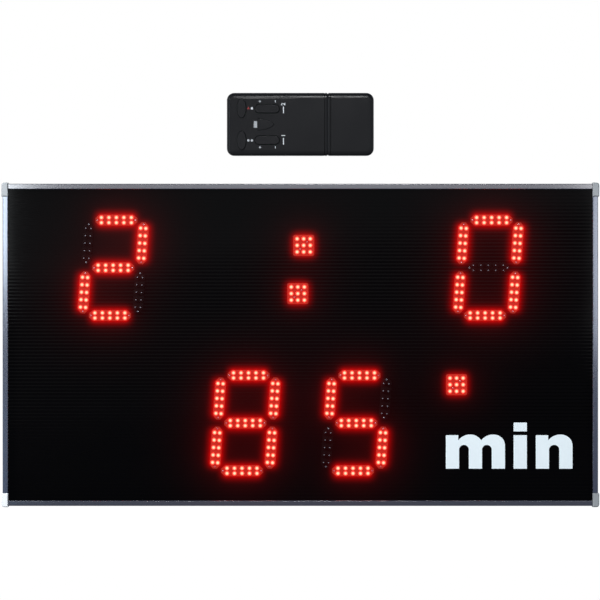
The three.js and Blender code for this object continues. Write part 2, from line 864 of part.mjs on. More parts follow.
// A lip inside the back shell's rim locates the front shell and the cover
function caseLip() {
  const ring = (outerInset, front, back) => slab(caseOutline(outerInset), front, back, 0, 1, 1)
    .subtract(slab(caseOutline(caseWall + lipThick), front - overrun, back + overrun, 0, 1, 1));
  const rim = splitDepth + seatGap;
  return join(ring(caseWall / 2, rim, rim + lipRoot),
    ring(caseWall + seatGap, splitDepth - lipRise, rim + lipRoot));
}

function cellPlaces() {
  const bay = [seamRight, -leftEnd - caseWall];
  const middle = (bay[0] + bay[1]) / 2;
  return [middle - cellSpacing / 2, middle + cellSpacing / 2];
}

const cellDepth = -caseWall - cellRest - seatGap - cellRadius;

function uprightCell(radius, length) {
  return toSolid(new THREE.CylinderGeometry(radius, radius, length, 12).rotateX(Math.PI / 2));
}

function batteryTray() {
  const floor = [-caseWall - seatGap, -caseWall / 2];
  const [first, last] = cellPlaces();
  const bay = [first - cellRadius - seatGap, last + cellRadius + seatGap];
  const endFace = cellLength / 2 + trayGap;
  const ends = [-1, 1].map((side) => block(bay,
    [cellDepth, floor[1]], [side * endFace, side * (endFace + trayWall)]));
  const cradles = [-1, 1].map((side) => block(bay, [-caseWall - cradleHeight, floor[1]],
    centred(trayWall, side * cradleSpread / 2)));
  const cells = cellPlaces().map((x) =>
    uprightCell(cellRadius + seatGap, cellLength).translate([x, cellDepth, 0]));
  const partition = block([seamLeft - 2 * trayWall, seamLeft - trayWall],
    [cellDepth - cellRadius, floor[1]], centred(handsetHeight - 2 * caseWall - lipThick));
  return join(partition, ...ends, ...cradles.map((cradle) => cut(cradle, ...cells)));
}

function circuitSpans() {
  const start = leftEnd + circuitInset;
  return [[start, start + circuitLength], centred(handsetHeight - 2 * circuitInset)];
}

function caseBack(outer, inner) {
  const shell = outer.intersect(block(outside, [splitDepth + seatGap, overrun], tall))
    .subtract(inner);
  const [[start, end], [low, high]] = circuitSpans();
  const posts = [];
  for (const x of [start + postInset, end - postInset]) {
    for (const z of [low + postInset, high - postInset]) {
      posts.push(rod(postRadius, circuitFace + boardThick + seatGap, -caseWall / 2, x, z, 6));
    }
  }
  return piece('case_back', join(shell, caseLip(), batteryTray(), ...posts), charcoal);
}

function tactSwitch(x, z) {
  const body = block(centred(tactWidth, x), [circuitFace - tactThick, circuitFace + boardThick / 2],
    centred(tactWidth, z));
  return join(body, rod(plungerRadius, plungerTip, circuitFace - tactThick / 2, x, z, 6));
}

function handsetCircuit() {
  const [across, upright] = circuitSpans();
  const board = block(across, [circuitFace, circuitFace + boardThick], upright);
  const switches = pushKeys.map(([, , place, rise]) => tactSwitch(leftEnd + place, rise));
  for (const [, rise] of teamKeys) {
    for (const side of [-1, 1]) {
      switches.push(tactSwitch(leftEnd + teamPlace + side * teamStemReach, rise));
    }
  }
  const can = block(centred(canWidth, across[1] - canWidth), [circuitFace - canThick,
    circuitFace + boardThick / 2], centred(canHeight));
  return piece('handset_circuit', join(board, can, ...switches), circuitGreen);
}

// Two cells lie side by side, the second one turned end for end
function batteries() {
  const body = cellLength - cellNubRise;
  const profile = [[0, 0], [cellRadius, 0], [cellRadius, body], [cellNub, body],
    [cellNub, cellLength], [0, cellLength]];
  return cellPlaces().map((x, index) => {
    const cell = piece(`battery_cell_${index + 1}`,
      turned(profile, 12, true).translate([0, -cellLength / 2, 0]), cellJacket);
    cell.position.set(x, cellDepth, 0);
    cell.rotation.x = index === 0 ? Math.PI / 2 : -Math.PI / 2;
    return cell;
  });
}

function batteryBridge() {
  const [first, last] = cellPlaces();
  const level = -cellLength / 2 - trayGap / 2;
  return piece('battery_bridge', block(centred(bridgeWidth, (first + last) / 2),
    centred(bridgeHeight, cellDepth), centred(bridgeThick, level)), zinc);
}

function handset() {
  const group = new THREE.Group();
  const outer = caseBody(0, 3, 2);
  const inner = caseBody(caseWall, 1, 1);
  group.add(caseFront(outer, inner), caseBack(outer, inner), batteryCover(outer, inner),
    handsetCircuit(), ...pushKeys.map(pushButton), ...teamKeys.map(teamRocker), ...batteries(),
    batteryBridge());
  const level = boardHeight + 2 * capProud + handsetLift + handsetHeight / 2;
  group.position.set(0, backPlane, level);
  return group;
}

function scoreboard() {
  const group = new THREE.Group();
  group.add(frontSheet(), backSheet(), ...rails(), ...cornerCaps(), ...hangerPlates(),
    ...display(), switchHousing(), switchRocker(), powerInlet(), controllerBoard(),
    receiverModule());
  group.position.z = boardHeight / 2 + capProud;
  return group;
}

const model = new THREE.Group();
model.add(scoreboard(), handset());

export default model;
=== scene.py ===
# Electronic scoreboard and its handset: the visible pieces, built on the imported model's frame.
# Metres. X runs to the right as seen from the front, Y to the back, Z up.
import json
import math

import bpy
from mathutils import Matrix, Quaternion, Vector

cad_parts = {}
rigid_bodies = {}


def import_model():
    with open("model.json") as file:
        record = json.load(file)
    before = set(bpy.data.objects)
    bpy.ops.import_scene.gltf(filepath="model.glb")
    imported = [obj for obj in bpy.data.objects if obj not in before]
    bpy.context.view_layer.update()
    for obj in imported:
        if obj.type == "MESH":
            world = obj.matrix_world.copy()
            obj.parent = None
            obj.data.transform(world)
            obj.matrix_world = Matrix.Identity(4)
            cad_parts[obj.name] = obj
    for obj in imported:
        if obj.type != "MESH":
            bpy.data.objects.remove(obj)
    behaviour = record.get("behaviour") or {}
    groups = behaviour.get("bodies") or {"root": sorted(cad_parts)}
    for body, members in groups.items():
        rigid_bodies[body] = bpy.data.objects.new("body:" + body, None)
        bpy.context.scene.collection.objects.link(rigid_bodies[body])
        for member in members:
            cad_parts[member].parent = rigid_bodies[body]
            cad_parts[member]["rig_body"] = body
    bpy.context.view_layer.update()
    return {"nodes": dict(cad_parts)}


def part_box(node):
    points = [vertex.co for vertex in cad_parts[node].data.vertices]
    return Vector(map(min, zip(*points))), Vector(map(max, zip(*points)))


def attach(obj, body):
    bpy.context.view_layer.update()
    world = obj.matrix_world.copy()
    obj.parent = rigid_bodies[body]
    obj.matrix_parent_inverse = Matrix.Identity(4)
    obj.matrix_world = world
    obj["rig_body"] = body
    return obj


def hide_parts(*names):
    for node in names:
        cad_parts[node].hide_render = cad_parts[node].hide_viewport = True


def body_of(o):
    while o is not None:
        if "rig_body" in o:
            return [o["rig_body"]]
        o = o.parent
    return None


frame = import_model()

TINY = 0.00001
FLAT_ENOUGH = math.radians(0.5)
STRAIGHT = 0.9999
WHITE = (1, 1, 1)

# Lamps and the bars and dots that carry them
PLATE_THICK = 0.0032
PLATE_EDGE = 0.0003
PLATE_EDGE_STEPS = 2
LAMP_RADIUS = 0.0025
LAMP_FLANGE = 0.0029
LAMP_FLANGE_THICK = 0.0009
LAMP_HEIGHT = 0.0054
LAMP_SIDES = 12
DOME_RINGS = 2
DOME_REACH = math.radians(84)
LENS_SPILL = 0.3
LENS_CLOUD_SCALE = 700.0
LENS_UNEVEN = (0.85, 1.15)
LENS_GLOSS = 0.18
LENS_REDS = ((0.30, 0.01, 0.005), (0.42, 0.02, 0.01))
LENS_CORE_SHARE = 0.58
# Painted glint on the unlit lenses: where its pale spot starts and where it is full, behind the
# lens tip
PAINTED_GLINT_FOOT = 0.00026
PAINTED_GLINT_TOP = 0.00010
BAR_TAPER = 0.0052
BAR_TIP = 0.0048
BAR_LAMPS = 5
BAR_PITCH = 0.0089
BAR_ROW_GAP = 0.0061
BAR_SCREWS = 0.0452
DOT_CORNER = 0.002
DOT_CORNER_STEPS = 4
DOT_LAMPS = 3
DOT_PITCH = 0.0078
DOT_SCREWS = 0.0042
SMALL_SCREW_RADIUS = 0.0012
SMALL_SCREW_HEIGHT = 0.0008
SCREW_SIDES = 20
SCREW_SHARES = ((1, 0), (1, 0.45), (0.86, 0.8), (0.55, 1))
RECESS_LENGTH_SHARE = 0.62
RECESS_WIDTH_SHARE = 0.14
RECESS_FLOOR_SHARE = 0.55
RECESS_TOP_SHARE = 1.2

# Fluted front sheet and its lettering
FLUTE_PITCH = 0.00414
FLUTE_SINK = 0.00018
FLUTE_STRIPS = 6
LETTER_THICK = 0.00015
LETTER_LEFT = 0.1731
LETTER_BASE = 0.0456
LETTER_RISE = 0.0399
LETTER_STEM = 0.0158
LETTER_COUNTER = 0.0115
LETTER_DOT = 0.0105
LETTER_DOT_GAP = 0.0045
LETTER_GAP = 0.0102
LETTER_LAST_GAP = 0.0106
LETTER_LAST_COUNTER = 0.0121
# Shares of a letter's rise: notch, peak, right shoulder, inner foot and inner top of an arch
ARCH_LEVEL_SHARES = (0.845, 1.02, 0.68, 0.565, 0.71)
ARCH_BITE_SHARE = 0.065
ARCH_PEAK_SHARE = 0.53
# Reach of an arch's curves across and up, as shares of step, stem and rise
ARCH_LEAVE = (0.12, 0.11)
ARCH_ARRIVE = (0.07, 0.08)
ARCH_PEAK_REACH = (0.36, 0.38)
ARCH_LAST_REACH = (0.5, 0.2)
ARCH_INNER_REACH = (0.28, 0.56)

# Handset casing
CASE_CORNER = 0.0088
CASE_CORNER_STEPS = 8
CASE_EDGE = 0.0042
CASE_EDGE_STEPS = 6
CASE_WALL = 0.002
CASE_SPLIT = 0.0115
SPLIT_GAP = 0.0003
FACE_SLOPE_WIDTH = 0.0028
FACE_SLOPE_DROP = 0.0004
SEAM_GAP = 0.0003
# Place from the seam, half width and depth of each line
SEAM_LINES = ((-0.0071, 0.0005, 0.0006), (-0.0035, 0.0013, 0.0009))
SEAM_EDGE = 0.0003
CUT_ANGLE = math.radians(80)
KEY_FIT = 0.0003
KEY_DEPTH = 0.004
KEY_EDGE = 0.0008
KEY_EDGE_STEPS = 4
OVAL_WIDTH = 0.0108
OVAL_HEIGHT = 0.023
MODE_LENGTH = 0.0189
MODE_HEIGHT = 0.0138
MODE_EDGE = KEY_EDGE * 0.6
# Reach of its curves, as shares of half its length and height
MODE_BOW = 0.9
MODE_POINT = (0.3, 0.55)
TEAM_LENGTH = 0.0293
TEAM_WIDTH = 0.0104
TEAM_FIT = 0.0005
STADIUM_SIDES = 34
OVAL_SIDES = 48
PRINT_THICK = 0.00004
MARK_SIZE = 0.0026
MARK_STROKE = 0.0008
MARK_TRIANGLE = MARK_SIZE * 0.8
RING_SIDES = 24
MARK_RISE = 0.0087
MARK_PLUS_ASIDE = 0.0086
MARK_MINUS_ASIDE = 0.0097
MARK_NUMBER = 0.0064
MARK_NUMBER_BOLD = 0.00016
MARK_NUMBER_ASIDE = 0.0194
MARK_NUMBER_RISE = 0.0054
MARK_LINE = 0.0078
MARK_LINE_WIDTH = 0.0011
MARK_LINE_DROP = 0.0015
MARK_LINE_STEP = 0.0014
MARK_INNER = 0.0080
MARK_OUTER = 0.0122
MARK_MODE_ASIDE = 0.0126
CELL_RADIUS = 0.00725
CELL_NUB = 0.0027
CELL_NUB_RISE = 0.0013
CELL_RIM = CELL_RADIUS * 0.08
CELL_FOOT = CELL_RADIUS * 0.8
CELL_END_FACING = 0.7
CELL_SIDES = 40

# Back of the board
PAN_SCREW_RADIUS = 0.0026
PAN_SCREW_HEIGHT = 0.0013
HANGER_SCREW_ASIDE = 0.022
BACK_EDGE = 0.0002
INLET_FLANGE_THICK = 0.002
INLET_SHANK = 0.0072
INLET_BARREL = 0.0056
INLET_TAIL = 0.0044
INLET_BORE = 0.0032
INLET_BORE_DEPTH = 0.0095
INLET_PIN = 0.00105
INLET_PIN_SINK = 0.001
INLET_SIDES = 48

# Frame rails and caps
RAIL_EDGE = 0.00018
CAP_EDGE = 0.0004

# Grain, rubbed edges and marks that all finishes share
GRAIN_DETAIL = 4.0
PIT_SHARE = 0.35
DRIFT_SCALE = 18.0
DRIFT_DETAIL = 6.0
DRIFT_RANGE = (0.3, 0.7)
EDGE_RANGE = (1.0, 0.8)
BREAK_SCALE = 160.0
BREAK_DETAIL = 5.0
BREAK_RANGE = (0.42, 0.66)
PATCH_DETAIL = 3.0
PATCH_TWIST = 0.6
PATCH_RANGE = (0.4, 0.65)
SPECK_SCALE = 900.0
SPECK_RANGE = (0.16, 0.05)
RELIEF_STRENGTH = 0.6

# Studio, with the picture's width and middle at the lamps
PICTURE_WIDTH = 0.7134
PICTURE_MIDDLE = 0.2463
CAMERA_AWAY = 16.0
CAMERA_ASIDE = -0.0004
CAMERA_CLIP = 100
BOARD_MIDDLE = (0, 0, 0.25)
FLOOR_SIZE = 60.0
FLOOR_GLOW = 0.99
FLOOR_GREY = (0.08, 0.08, 0.08)
SOFT_WHITE = (0.92, 0.95, 1.0)
WORLD_SOFT = 0.12
MIRRORED_BLUE = (0.42, 0.58, 1.0)
MIRRORED_LEVEL = 0.11
MIRRORED_PALE = (0.60, 0.62, 0.65)
FRONT_HALF_WIDTH = (0.42, 0.70)
FRONT_REACH = (-0.80, -0.40)
FRONT_LINE = (0.0, 0.10)
BLOOM_THRESHOLD = 1.6
BLOOMS = ((0.022, 3.0), (0.12, 0.5))
BLOOM_MOST = 0.45
BLOOM_KNEE = 0.2

# The bars that stay dark, so that the digits show 2, 0 and 85
DARK_BARS = {
    "left_score": ("upper_left", "lower_right"),
    "right_score": ("middle",),
    "minute_tens": (),
    "minute_units": ("upper_right", "lower_left"),
}
BAR_PLACES = ("top", "middle", "bottom", "upper_left", "upper_right", "lower_left", "lower_right")
DOTS = ("colon_upper_dot", "colon_lower_dot", "prime_dot")


# Working with one piece at a time


def adjust(thing, **settings):
    for key, value in settings.items():
        setattr(thing, key, value)


def take(*pieces):
    """Selects these pieces alone, and makes the first one active."""
    bpy.ops.object.select_all(action="DESELECT")
    for piece in pieces:
        piece.select_set(True)
    bpy.context.view_layer.objects.active = pieces[0]


def placed(name, data, place=(0, 0, 0), turn=(0, 0, 0)):
    """A new object that carries this data."""
    thing = bpy.data.objects.new(name, data)
    bpy.context.collection.objects.link(thing)
    thing.location = place
    thing.rotation_euler = turn
    return thing


def settle(name):
    """Names the active piece and puts its place and turn into its mesh."""
    piece = bpy.context.object
    piece.name = piece.data.name = name
    bpy.ops.object.transform_apply(location=True, rotation=True, scale=True)
    return piece


def block(name, low, high):
    low, high = Vector(low), Vector(high)
    bpy.ops.mesh.primitive_cube_add(size=1, location=(low + high) / 2)
    bpy.context.object.scale = high - low
    return settle(name)


def disc(name, radius, front, back, x, z, sides):
    """A cylinder whose axis runs from the front to the back."""
    bpy.ops.mesh.primitive_cylinder_add(
        vertices=sides, radius=radius, depth=back - front,
        location=(x, (front + back) / 2, z), rotation=(math.pi / 2, 0, 0))
    return settle(name)


def open_mesh(piece, action="SELECT"):
    """Opens the mesh for editing with all of it selected, or none of it."""
    take(piece)
    bpy.ops.object.mode_set(mode="EDIT")
    bpy.ops.mesh.select_all(action=action)


def close_mesh():
    bpy.ops.object.mode_set(mode="OBJECT")


def pick(piece, kind, parts, wanted):
    """Opens the mesh for editing with those of its parts selected that are wanted."""
    open_mesh(piece, "DESELECT")
    bpy.ops.mesh.select_mode(type=kind)
    close_mesh()
    for part in getattr(piece.data, parts):
        part.select = bool(wanted(part))
    bpy.ops.object.mode_set(mode="EDIT")


def pick_faces(piece, wanted):
    """Picks the faces that wanted(centre, normal) names."""
    pick(piece, "FACE", "polygons", lambda face: wanted(face.center, face.normal))


def pick_edges(piece, wanted):
    """Picks the edges that wanted(end, end) names."""
    pick(piece, "EDGE", "edges", lambda edge: wanted(*[
        piece.data.vertices[end].co for end in edge.vertices]))


def pick_corners(piece, wanted):
    """Picks the corners that wanted(place) names."""
    pick(piece, "VERT", "vertices", lambda corner: wanted(corner.co))


def round_edges(piece, width, steps, wanted):
    """Rounds the edges that wanted(end, end) names."""
    pick_edges(piece, wanted)
    bpy.ops.mesh.bevel(offset=width, segments=steps, affect="EDGES")
    close_mesh()


def slice_at(piece, axis, level, drop=None):
    """Cuts the mesh across an axis; drop is "above" or "below" the level, or nothing."""
    normal = Vector([axis == "x", axis == "y", axis == "z"])
    open_mesh(piece)
    bpy.ops.mesh.bisect(plane_co=normal * level, plane_no=normal, clear_outer=drop == "above",
                        clear_inner=drop == "below")
    close_mesh()


def tidy_mesh(piece):
    """Merges doubled corners and turns every face outwards."""
    open_mesh(piece)
    bpy.ops.mesh.remove_doubles(threshold=TINY / 10)
    bpy.ops.mesh.normals_make_consistent(inside=False)
    close_mesh()


def apply_modifier(piece, kind, **settings):
    take(piece)
    modifier = piece.modifiers.new(kind, kind)
    adjust(modifier, **settings)
    bpy.ops.object.modifier_apply(modifier=modifier.name)


def smooth(piece, degrees=40):
    take(piece)
    bpy.ops.object.shade_smooth_by_angle(angle=math.radians(degrees))


def smooth_flat(piece, degrees=40):
    """Smooth shading that leaves the large flat faces flat."""
    smooth(piece, degrees)
    apply_modifier(piece, "WEIGHTED_NORMAL", keep_sharp=True)


def discard(*pieces):
    for piece in pieces:
        bpy.data.objects.remove(piece, do_unlink=True)


def cut_out(piece, cutter):
    """Takes the cutter's shape out of the piece, and the cutter away."""
    apply_modifier(piece, "BOOLEAN", operation="DIFFERENCE", object=cutter, solver="EXACT")
    discard(cutter)


def copy_of(piece, name, place, turn=(0, 0, 0)):
    """A copy with its own mesh, turned and then moved."""
    take(placed(name, piece.data.copy(), place, turn))
    return settle(name)


def joined(name, *pieces):
    take(*pieces)
    bpy.ops.object.join()
    return settle(name)


def paint(piece, material):
    piece.data.materials.clear()
    piece.data.materials.append(material)


def turned(name, profile, sides, place=(0, 0, 0)):
    """A turned piece about an axis that runs to the front, from (radius, depth) steps."""
    radius, depth = profile[0]
    x, y, z = place
    bpy.ops.mesh.primitive_circle_add(
        vertices=sides, radius=radius, fill_type="NGON",
        location=(x, y + depth, z), rotation=(math.pi / 2, 0, 0))
    piece = settle(name)
    open_mesh(piece)
    for next_radius, next_depth in profile[1:]:
        bpy.ops.mesh.extrude_region_move(
            TRANSFORM_OT_translate={"value": (0, next_depth - depth, 0)})
        ratio = next_radius / radius
        bpy.ops.transform.resize(
            value=(ratio, 1, ratio), center_override=(x, y + next_depth, z))
        radius, depth = next_radius, next_depth
    close_mesh()
    tidy_mesh(piece)
    return piece


def outlined(name, strokes, thick, place, edge=0.0):
    """A flat piece that faces the front, from closed curves of (x, z, handle, handle) points."""
    curve = bpy.data.curves.new(name, "CURVE")
    adjust(curve, dimensions="2D", fill_mode="BOTH", extrude=thick / 2 - edge,
           bevel_depth=edge, bevel_resolution=2, resolution_u=10)
    for stroke in strokes:
        spline = curve.splines.new("BEZIER")
        spline.bezier_points.add(len(stroke) - 1)
        spline.use_cyclic_u = True
        for point, (x, z, before, after) in zip(spline.bezier_points, stroke):
            point.handle_left_type = point.handle_right_type = "FREE"
            point.co = (x, z, 0)
            point.handle_left = (x + before[0], z + before[1], 0)
            point.handle_right = (x + after[0], z + after[1], 0)
    take(placed(name, curve, place, (math.pi / 2, 0, 0)))
    bpy.ops.object.convert(target="MESH")
    piece = settle(name)
    tidy_mesh(piece)
    return piece


def dress(piece, node, finish):
    """Paints a piece that takes the place of a packed one, on the same body."""
    paint(piece, finish)
    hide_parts(node)
    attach(piece, body_of(frame["nodes"][node])[0])


def middle_of(node):
    low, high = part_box(node)
    return (low + high) / 2


def refined(node, name, edge, finish, steps=2, angle=25):
    """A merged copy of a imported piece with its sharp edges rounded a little."""
    take(placed(name, frame["nodes"][node].data.copy()))
    piece = settle(name)
    bpy.ops.mesh.customdata_custom_splitnormals_clear()
    tidy_mesh(piece)
    open_mesh(piece)
    bpy.ops.mesh.dissolve_limited(angle_limit=FLAT_ENOUGH)
    close_mesh()
    apply_modifier(piece, "BEVEL", width=edge, segments=steps, limit_method="ANGLE",
                   angle_limit=math.radians(angle))
    smooth_flat(piece)
    dress(piece, node, finish)


# Finishes


def give(tree, node, inputs):
    """Sets inputs by name or number, each to a value, a colour or another node's output."""
    for key, value in inputs.items():
        socket = node.inputs[key]
        if isinstance(value, bpy.types.NodeSocket):
            tree.links.new(value, socket)
        elif socket.type == "RGBA":
            socket.default_value = (*value, 1.0)
        else:
            socket.default_value = value


def add_node(tree, kind, inputs=None, **settings):
    node = tree.nodes.new(kind)
    adjust(node, **settings)
    give(tree, node, inputs or {})
    return node


def sum_of(tree, operation, *values, kind="ShaderNodeMath", output=0, **settings):
    """What a node for sums makes of these values in order."""
    node = add_node(tree, kind, dict(enumerate(values)), operation=operation, **settings)
    return node.outputs[output]


def ranged(tree, value, ends=(0.0, 1.0), to=(0.0, 1.0), soft=False):
    """Takes the values between the ends to others, along a straight or a soft way."""
    node = add_node(tree, "ShaderNodeMapRange", {
        "Value": value, "From Min": ends[0], "From Max": ends[1], "To Min": to[0],
        "To Max": to[1]}, interpolation_type="SMOOTHSTEP" if soft else "LINEAR")
    return node.outputs["Result"]


def mixed(tree, factor, first, second):
    """Mixes two colours; each is a colour or the output that brings one."""
    node = add_node(tree, "ShaderNodeMix", {0: factor, 6: first, 7: second}, data_type="RGBA")
    return node.outputs[2]


def own_place(tree):
    return add_node(tree, "ShaderNodeTexCoord").outputs["Object"]


def place_along(tree, axis):
    return add_node(tree, "ShaderNodeSeparateXYZ", {0: own_place(tree)}).outputs[axis]


def noise(tree, place, scale, **inputs):
    node = add_node(tree, "ShaderNodeTexNoise", {"Vector": place, "Scale": scale, **inputs})
    return node.outputs["Fac"]


def cells(tree, place, scale):
    """The distance to the middle of the nearest cell."""
    node = add_node(tree, "ShaderNodeTexVoronoi", {"Vector": place, "Scale": scale})
    return node.outputs["Distance"]


def new_group(name, inputs, outputs):
    """A node group with its inputs, each with its usual value, and its outputs."""
    group = bpy.data.node_groups.new(name, "ShaderNodeTree")
    for label, value in inputs.items():
        kind = "NodeSocketVector" if isinstance(value, tuple) else "NodeSocketFloat"
        socket = group.interface.new_socket(name=label, in_out="INPUT", socket_type=kind)
        socket.default_value = value
    for label in outputs:
        group.interface.new_socket(name=label, in_out="OUTPUT", socket_type="NodeSocketFloat")
    return group, add_node(group, "NodeGroupInput").outputs, add_node(group, "NodeGroupOutput")


def grain_group():
    """Fine moulded or painted grain: a height, and a slow drift of the colour."""
    group, given, outlet = new_group(
        "surface_grain", {"Scale": 900.0, "Stretch": (1, 1, 1)}, ("Height", "Drift"))
    place = sum_of(group, "MULTIPLY", own_place(group), given["Stretch"],
                   kind="ShaderNodeVectorMath")
    fine = noise(group, place, given["Scale"], Detail=GRAIN_DETAIL)
    pits = cells(group, place, given["Scale"])
    slow = noise(group, place, DRIFT_SCALE, Detail=DRIFT_DETAIL)
    give(group, outlet, {
        "Height": sum_of(group, "MULTIPLY_ADD", pits, PIT_SHARE, fine),
        "Drift": ranged(group, slow, DRIFT_RANGE)})
    return group


def wear_group():
    """Rubbed edges: where a rounded normal departs from the flat one, broken up by noise."""
    group, given, outlet = new_group(
        "rubbed_edges", {"Width": 0.0006, "Amount": 1.0}, ("Mask",))
    rounded = add_node(group, "ShaderNodeBevel", {"Radius": given["Width"]}, samples=4)
    flat = add_node(group, "ShaderNodeNewGeometry")
    agree = sum_of(group, "DOT_PRODUCT", rounded.outputs["Normal"], flat.outputs["Normal"],
                   kind="ShaderNodeVectorMath", output="Value")
    breaks = noise(group, own_place(group), BREAK_SCALE, Detail=BREAK_DETAIL)
    both = sum_of(group, "MULTIPLY", ranged(group, agree, EDGE_RANGE),
                  ranged(group, breaks, BREAK_RANGE))
    mask = sum_of(group, "MULTIPLY", both, given["Amount"], use_clamp=True)
    give(group, outlet, {"Mask": mask})
    return group


def handling_group():
    """Finger marks and dust: soft patches with fine specks in them."""
    group, given, outlet = new_group("handling_marks", {"Scale": 40.0}, ("Patches", "Specks"))
    place = own_place(group)
    patches = noise(group, place, given["Scale"], Detail=PATCH_DETAIL, Distortion=PATCH_TWIST)
    patches = ranged(group, patches, PATCH_RANGE, soft=True)
    specks = ranged(group, cells(group, place, SPECK_SCALE), SPECK_RANGE)
    give(group, outlet, {
        "Patches": patches, "Specks": sum_of(group, "MULTIPLY", specks, patches)})
    return group


GRAIN, WEAR, HANDLING = grain_group(), wear_group(), handling_group()


def placed_group(tree, group, **values):
    return add_node(tree, "ShaderNodeGroup", values, node_tree=group).outputs


def new_finish(name):
    material = bpy.data.materials.new(name)
    material.use_nodes = True
    tree = material.node_tree
    return material, tree, tree.nodes["Principled BSDF"]


def surface(name, colour, drift_colour, worn_colour, roughness, grain=900.0, relief=0.00001,
            stretch=(1, 1, 1), wear=0.5, wear_width=0.0006, specular=0.5, metallic=0.0,
            marks=40.0, dust_colour=None, coat=0.0, glow=0.0, glow_colour=(1, 0, 0)):
    """A finish with drifting colour, rubbed edges, uneven gloss and a fine relief."""
    material, tree, shader = new_finish(name)
    grained = placed_group(tree, GRAIN, Scale=grain, Stretch=stretch)
    rubbed = placed_group(tree, WEAR, Width=wear_width, Amount=wear)
    handled = placed_group(tree, HANDLING, Scale=marks)
    base = mixed(tree, grained["Drift"], colour, drift_colour)
    if dust_colour:
        base = mixed(tree, handled["Specks"], base, dust_colour)
    bump = add_node(tree, "ShaderNodeBump", {
        "Strength": RELIEF_STRENGTH, "Distance": relief, "Height": grained["Height"]})
    give(tree, shader, {
        "Base Color": mixed(tree, rubbed["Mask"], base, worn_colour),
        "Roughness": ranged(tree, handled["Patches"], to=roughness),
        "Normal": bump.outputs["Normal"],
        "Metallic": metallic,
        "Specular IOR Level": specular,
        "Coat Weight": coat,
        "Emission Color": glow_colour,
        "Emission Strength": glow})
    return material


def lit_lens(name, ends, rim_colour, core_colour, strength):
    """A glowing lens: deep red round its foot, near white where the chip is seen."""
    material, tree, shader = new_finish(name)
    cloud = noise(tree, own_place(tree), LENS_CLOUD_SCALE)
    level = sum_of(tree, "MULTIPLY", ranged(tree, place_along(tree, "Y"), ends, soft=True),
                   ranged(tree, cloud, to=LENS_UNEVEN), use_clamp=True)
    seen = add_node(tree, "ShaderNodeLightPath").outputs["Is Camera Ray"]
    give(tree, shader, {
        "Base Color": mixed(tree, cloud, *LENS_REDS),
        "Roughness": LENS_GLOSS,
        "Emission Color": mixed(tree, level, rim_colour, core_colour),
        "Emission Strength": ranged(tree, seen, to=(strength * LENS_SPILL, strength))})
    return material


def painted_chip_glint(material, ends, colour):
    """A painted highlight: a small pale spot at the tip of an unlit lens, where its chip sits,
    standing in for the glint of light on it.
    """
    tree = material.node_tree
    shader = tree.nodes["Principled BSDF"]
    base = shader.inputs["Base Color"].links[0].from_socket
    glint_mask = ranged(tree, place_along(tree, "Y"), ends)
    give(tree, shader, {"Base Color": mixed(tree, glint_mask, base, colour)})


plate_low, plate_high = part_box("left_score_top_bar")
LAMP_TIP = plate_low.y
PLATE_LOOK = {"grain": 1400.0, "wear": 0.35, "wear_width": 0.0003}
RAIL_LOOK = {"grain": 1500.0, "relief": 0.000001, "wear": 0.15, "wear_width": 0.0003,
             "metallic": 1.0, "marks": 6.0}
HANDSET_BLACKS = ((0.008, 0.008, 0.0086), (0.01, 0.01, 0.0106), (0.03, 0.03, 0.032))
PRINT_LOOK = {"grain": 3000.0, "relief": 0.000005, "wear": 0.6, "wear_width": 0.00015}

plate_black = surface(
    "lamp_plate_black", (0.0022, 0.0020, 0.0021), (0.0034, 0.0030, 0.0031),
    (0.010, 0.010, 0.010), (0.32, 0.5), specular=0.05, **PLATE_LOOK)
# The plate of a lit bar: the black plate painted dark red with a faint red glow, a painted pool
# of the lamps' light on it.
plate_painted_glow = surface(
    "lamp_plate_painted_glow", (0.040, 0.008, 0.006), (0.055, 0.010, 0.008), (0.09, 0.02, 0.02),
    (0.35, 0.5), specular=0.1, glow=0.10, glow_colour=(1.0, 0.17, 0.09), **PLATE_LOOK)
lens_dark = surface(
    "lens_unlit", (0.0030, 0.0022, 0.0022), (0.0046, 0.0028, 0.0028), (0.008, 0.006, 0.006),
    (0.08, 0.14), grain=500.0, relief=0.000001, wear=0.1, specular=0.22, coat=0.1)
# The unlit lenses carry a painted highlight: a pale spot at the tip for the glint of light on the
# chip.
painted_chip_glint(lens_dark, (LAMP_TIP + PAINTED_GLINT_FOOT, LAMP_TIP + PAINTED_GLINT_TOP), (0.24, 0.23, 0.26))
lens_lit = lit_lens("lens_lit", (LAMP_TIP + LAMP_RADIUS * LENS_CORE_SHARE, LAMP_TIP),
                    (0.034, 0.0045, 0.003), (1.0, 0.062, 0.038), 15.0)
screw_steel = surface(
    "screw_steel", (0.42, 0.42, 0.44), (0.5, 0.5, 0.52), (0.62, 0.62, 0.62), (0.2, 0.4),
    grain=2500.0, relief=0.000006, metallic=1.0)
sheet_black = surface(
    "fluted_sheet_black", (0.0005, 0.0004, 0.0004), (0.0009, 0.0007, 0.0007),
    (0.003, 0.003, 0.003), (0.09, 0.12), grain=420.0, stretch=(0.15, 1, 1), wear=0.2,
    specular=0.11, marks=9.0)
letter_white = surface(
    "letter_film_white", (0.90, 0.98, 1.0), (0.87, 0.95, 0.98), (0.6, 0.66, 0.7), (0.3, 0.45),
    grain=600.0, wear=0.3, wear_width=0.0002, specular=0.4)
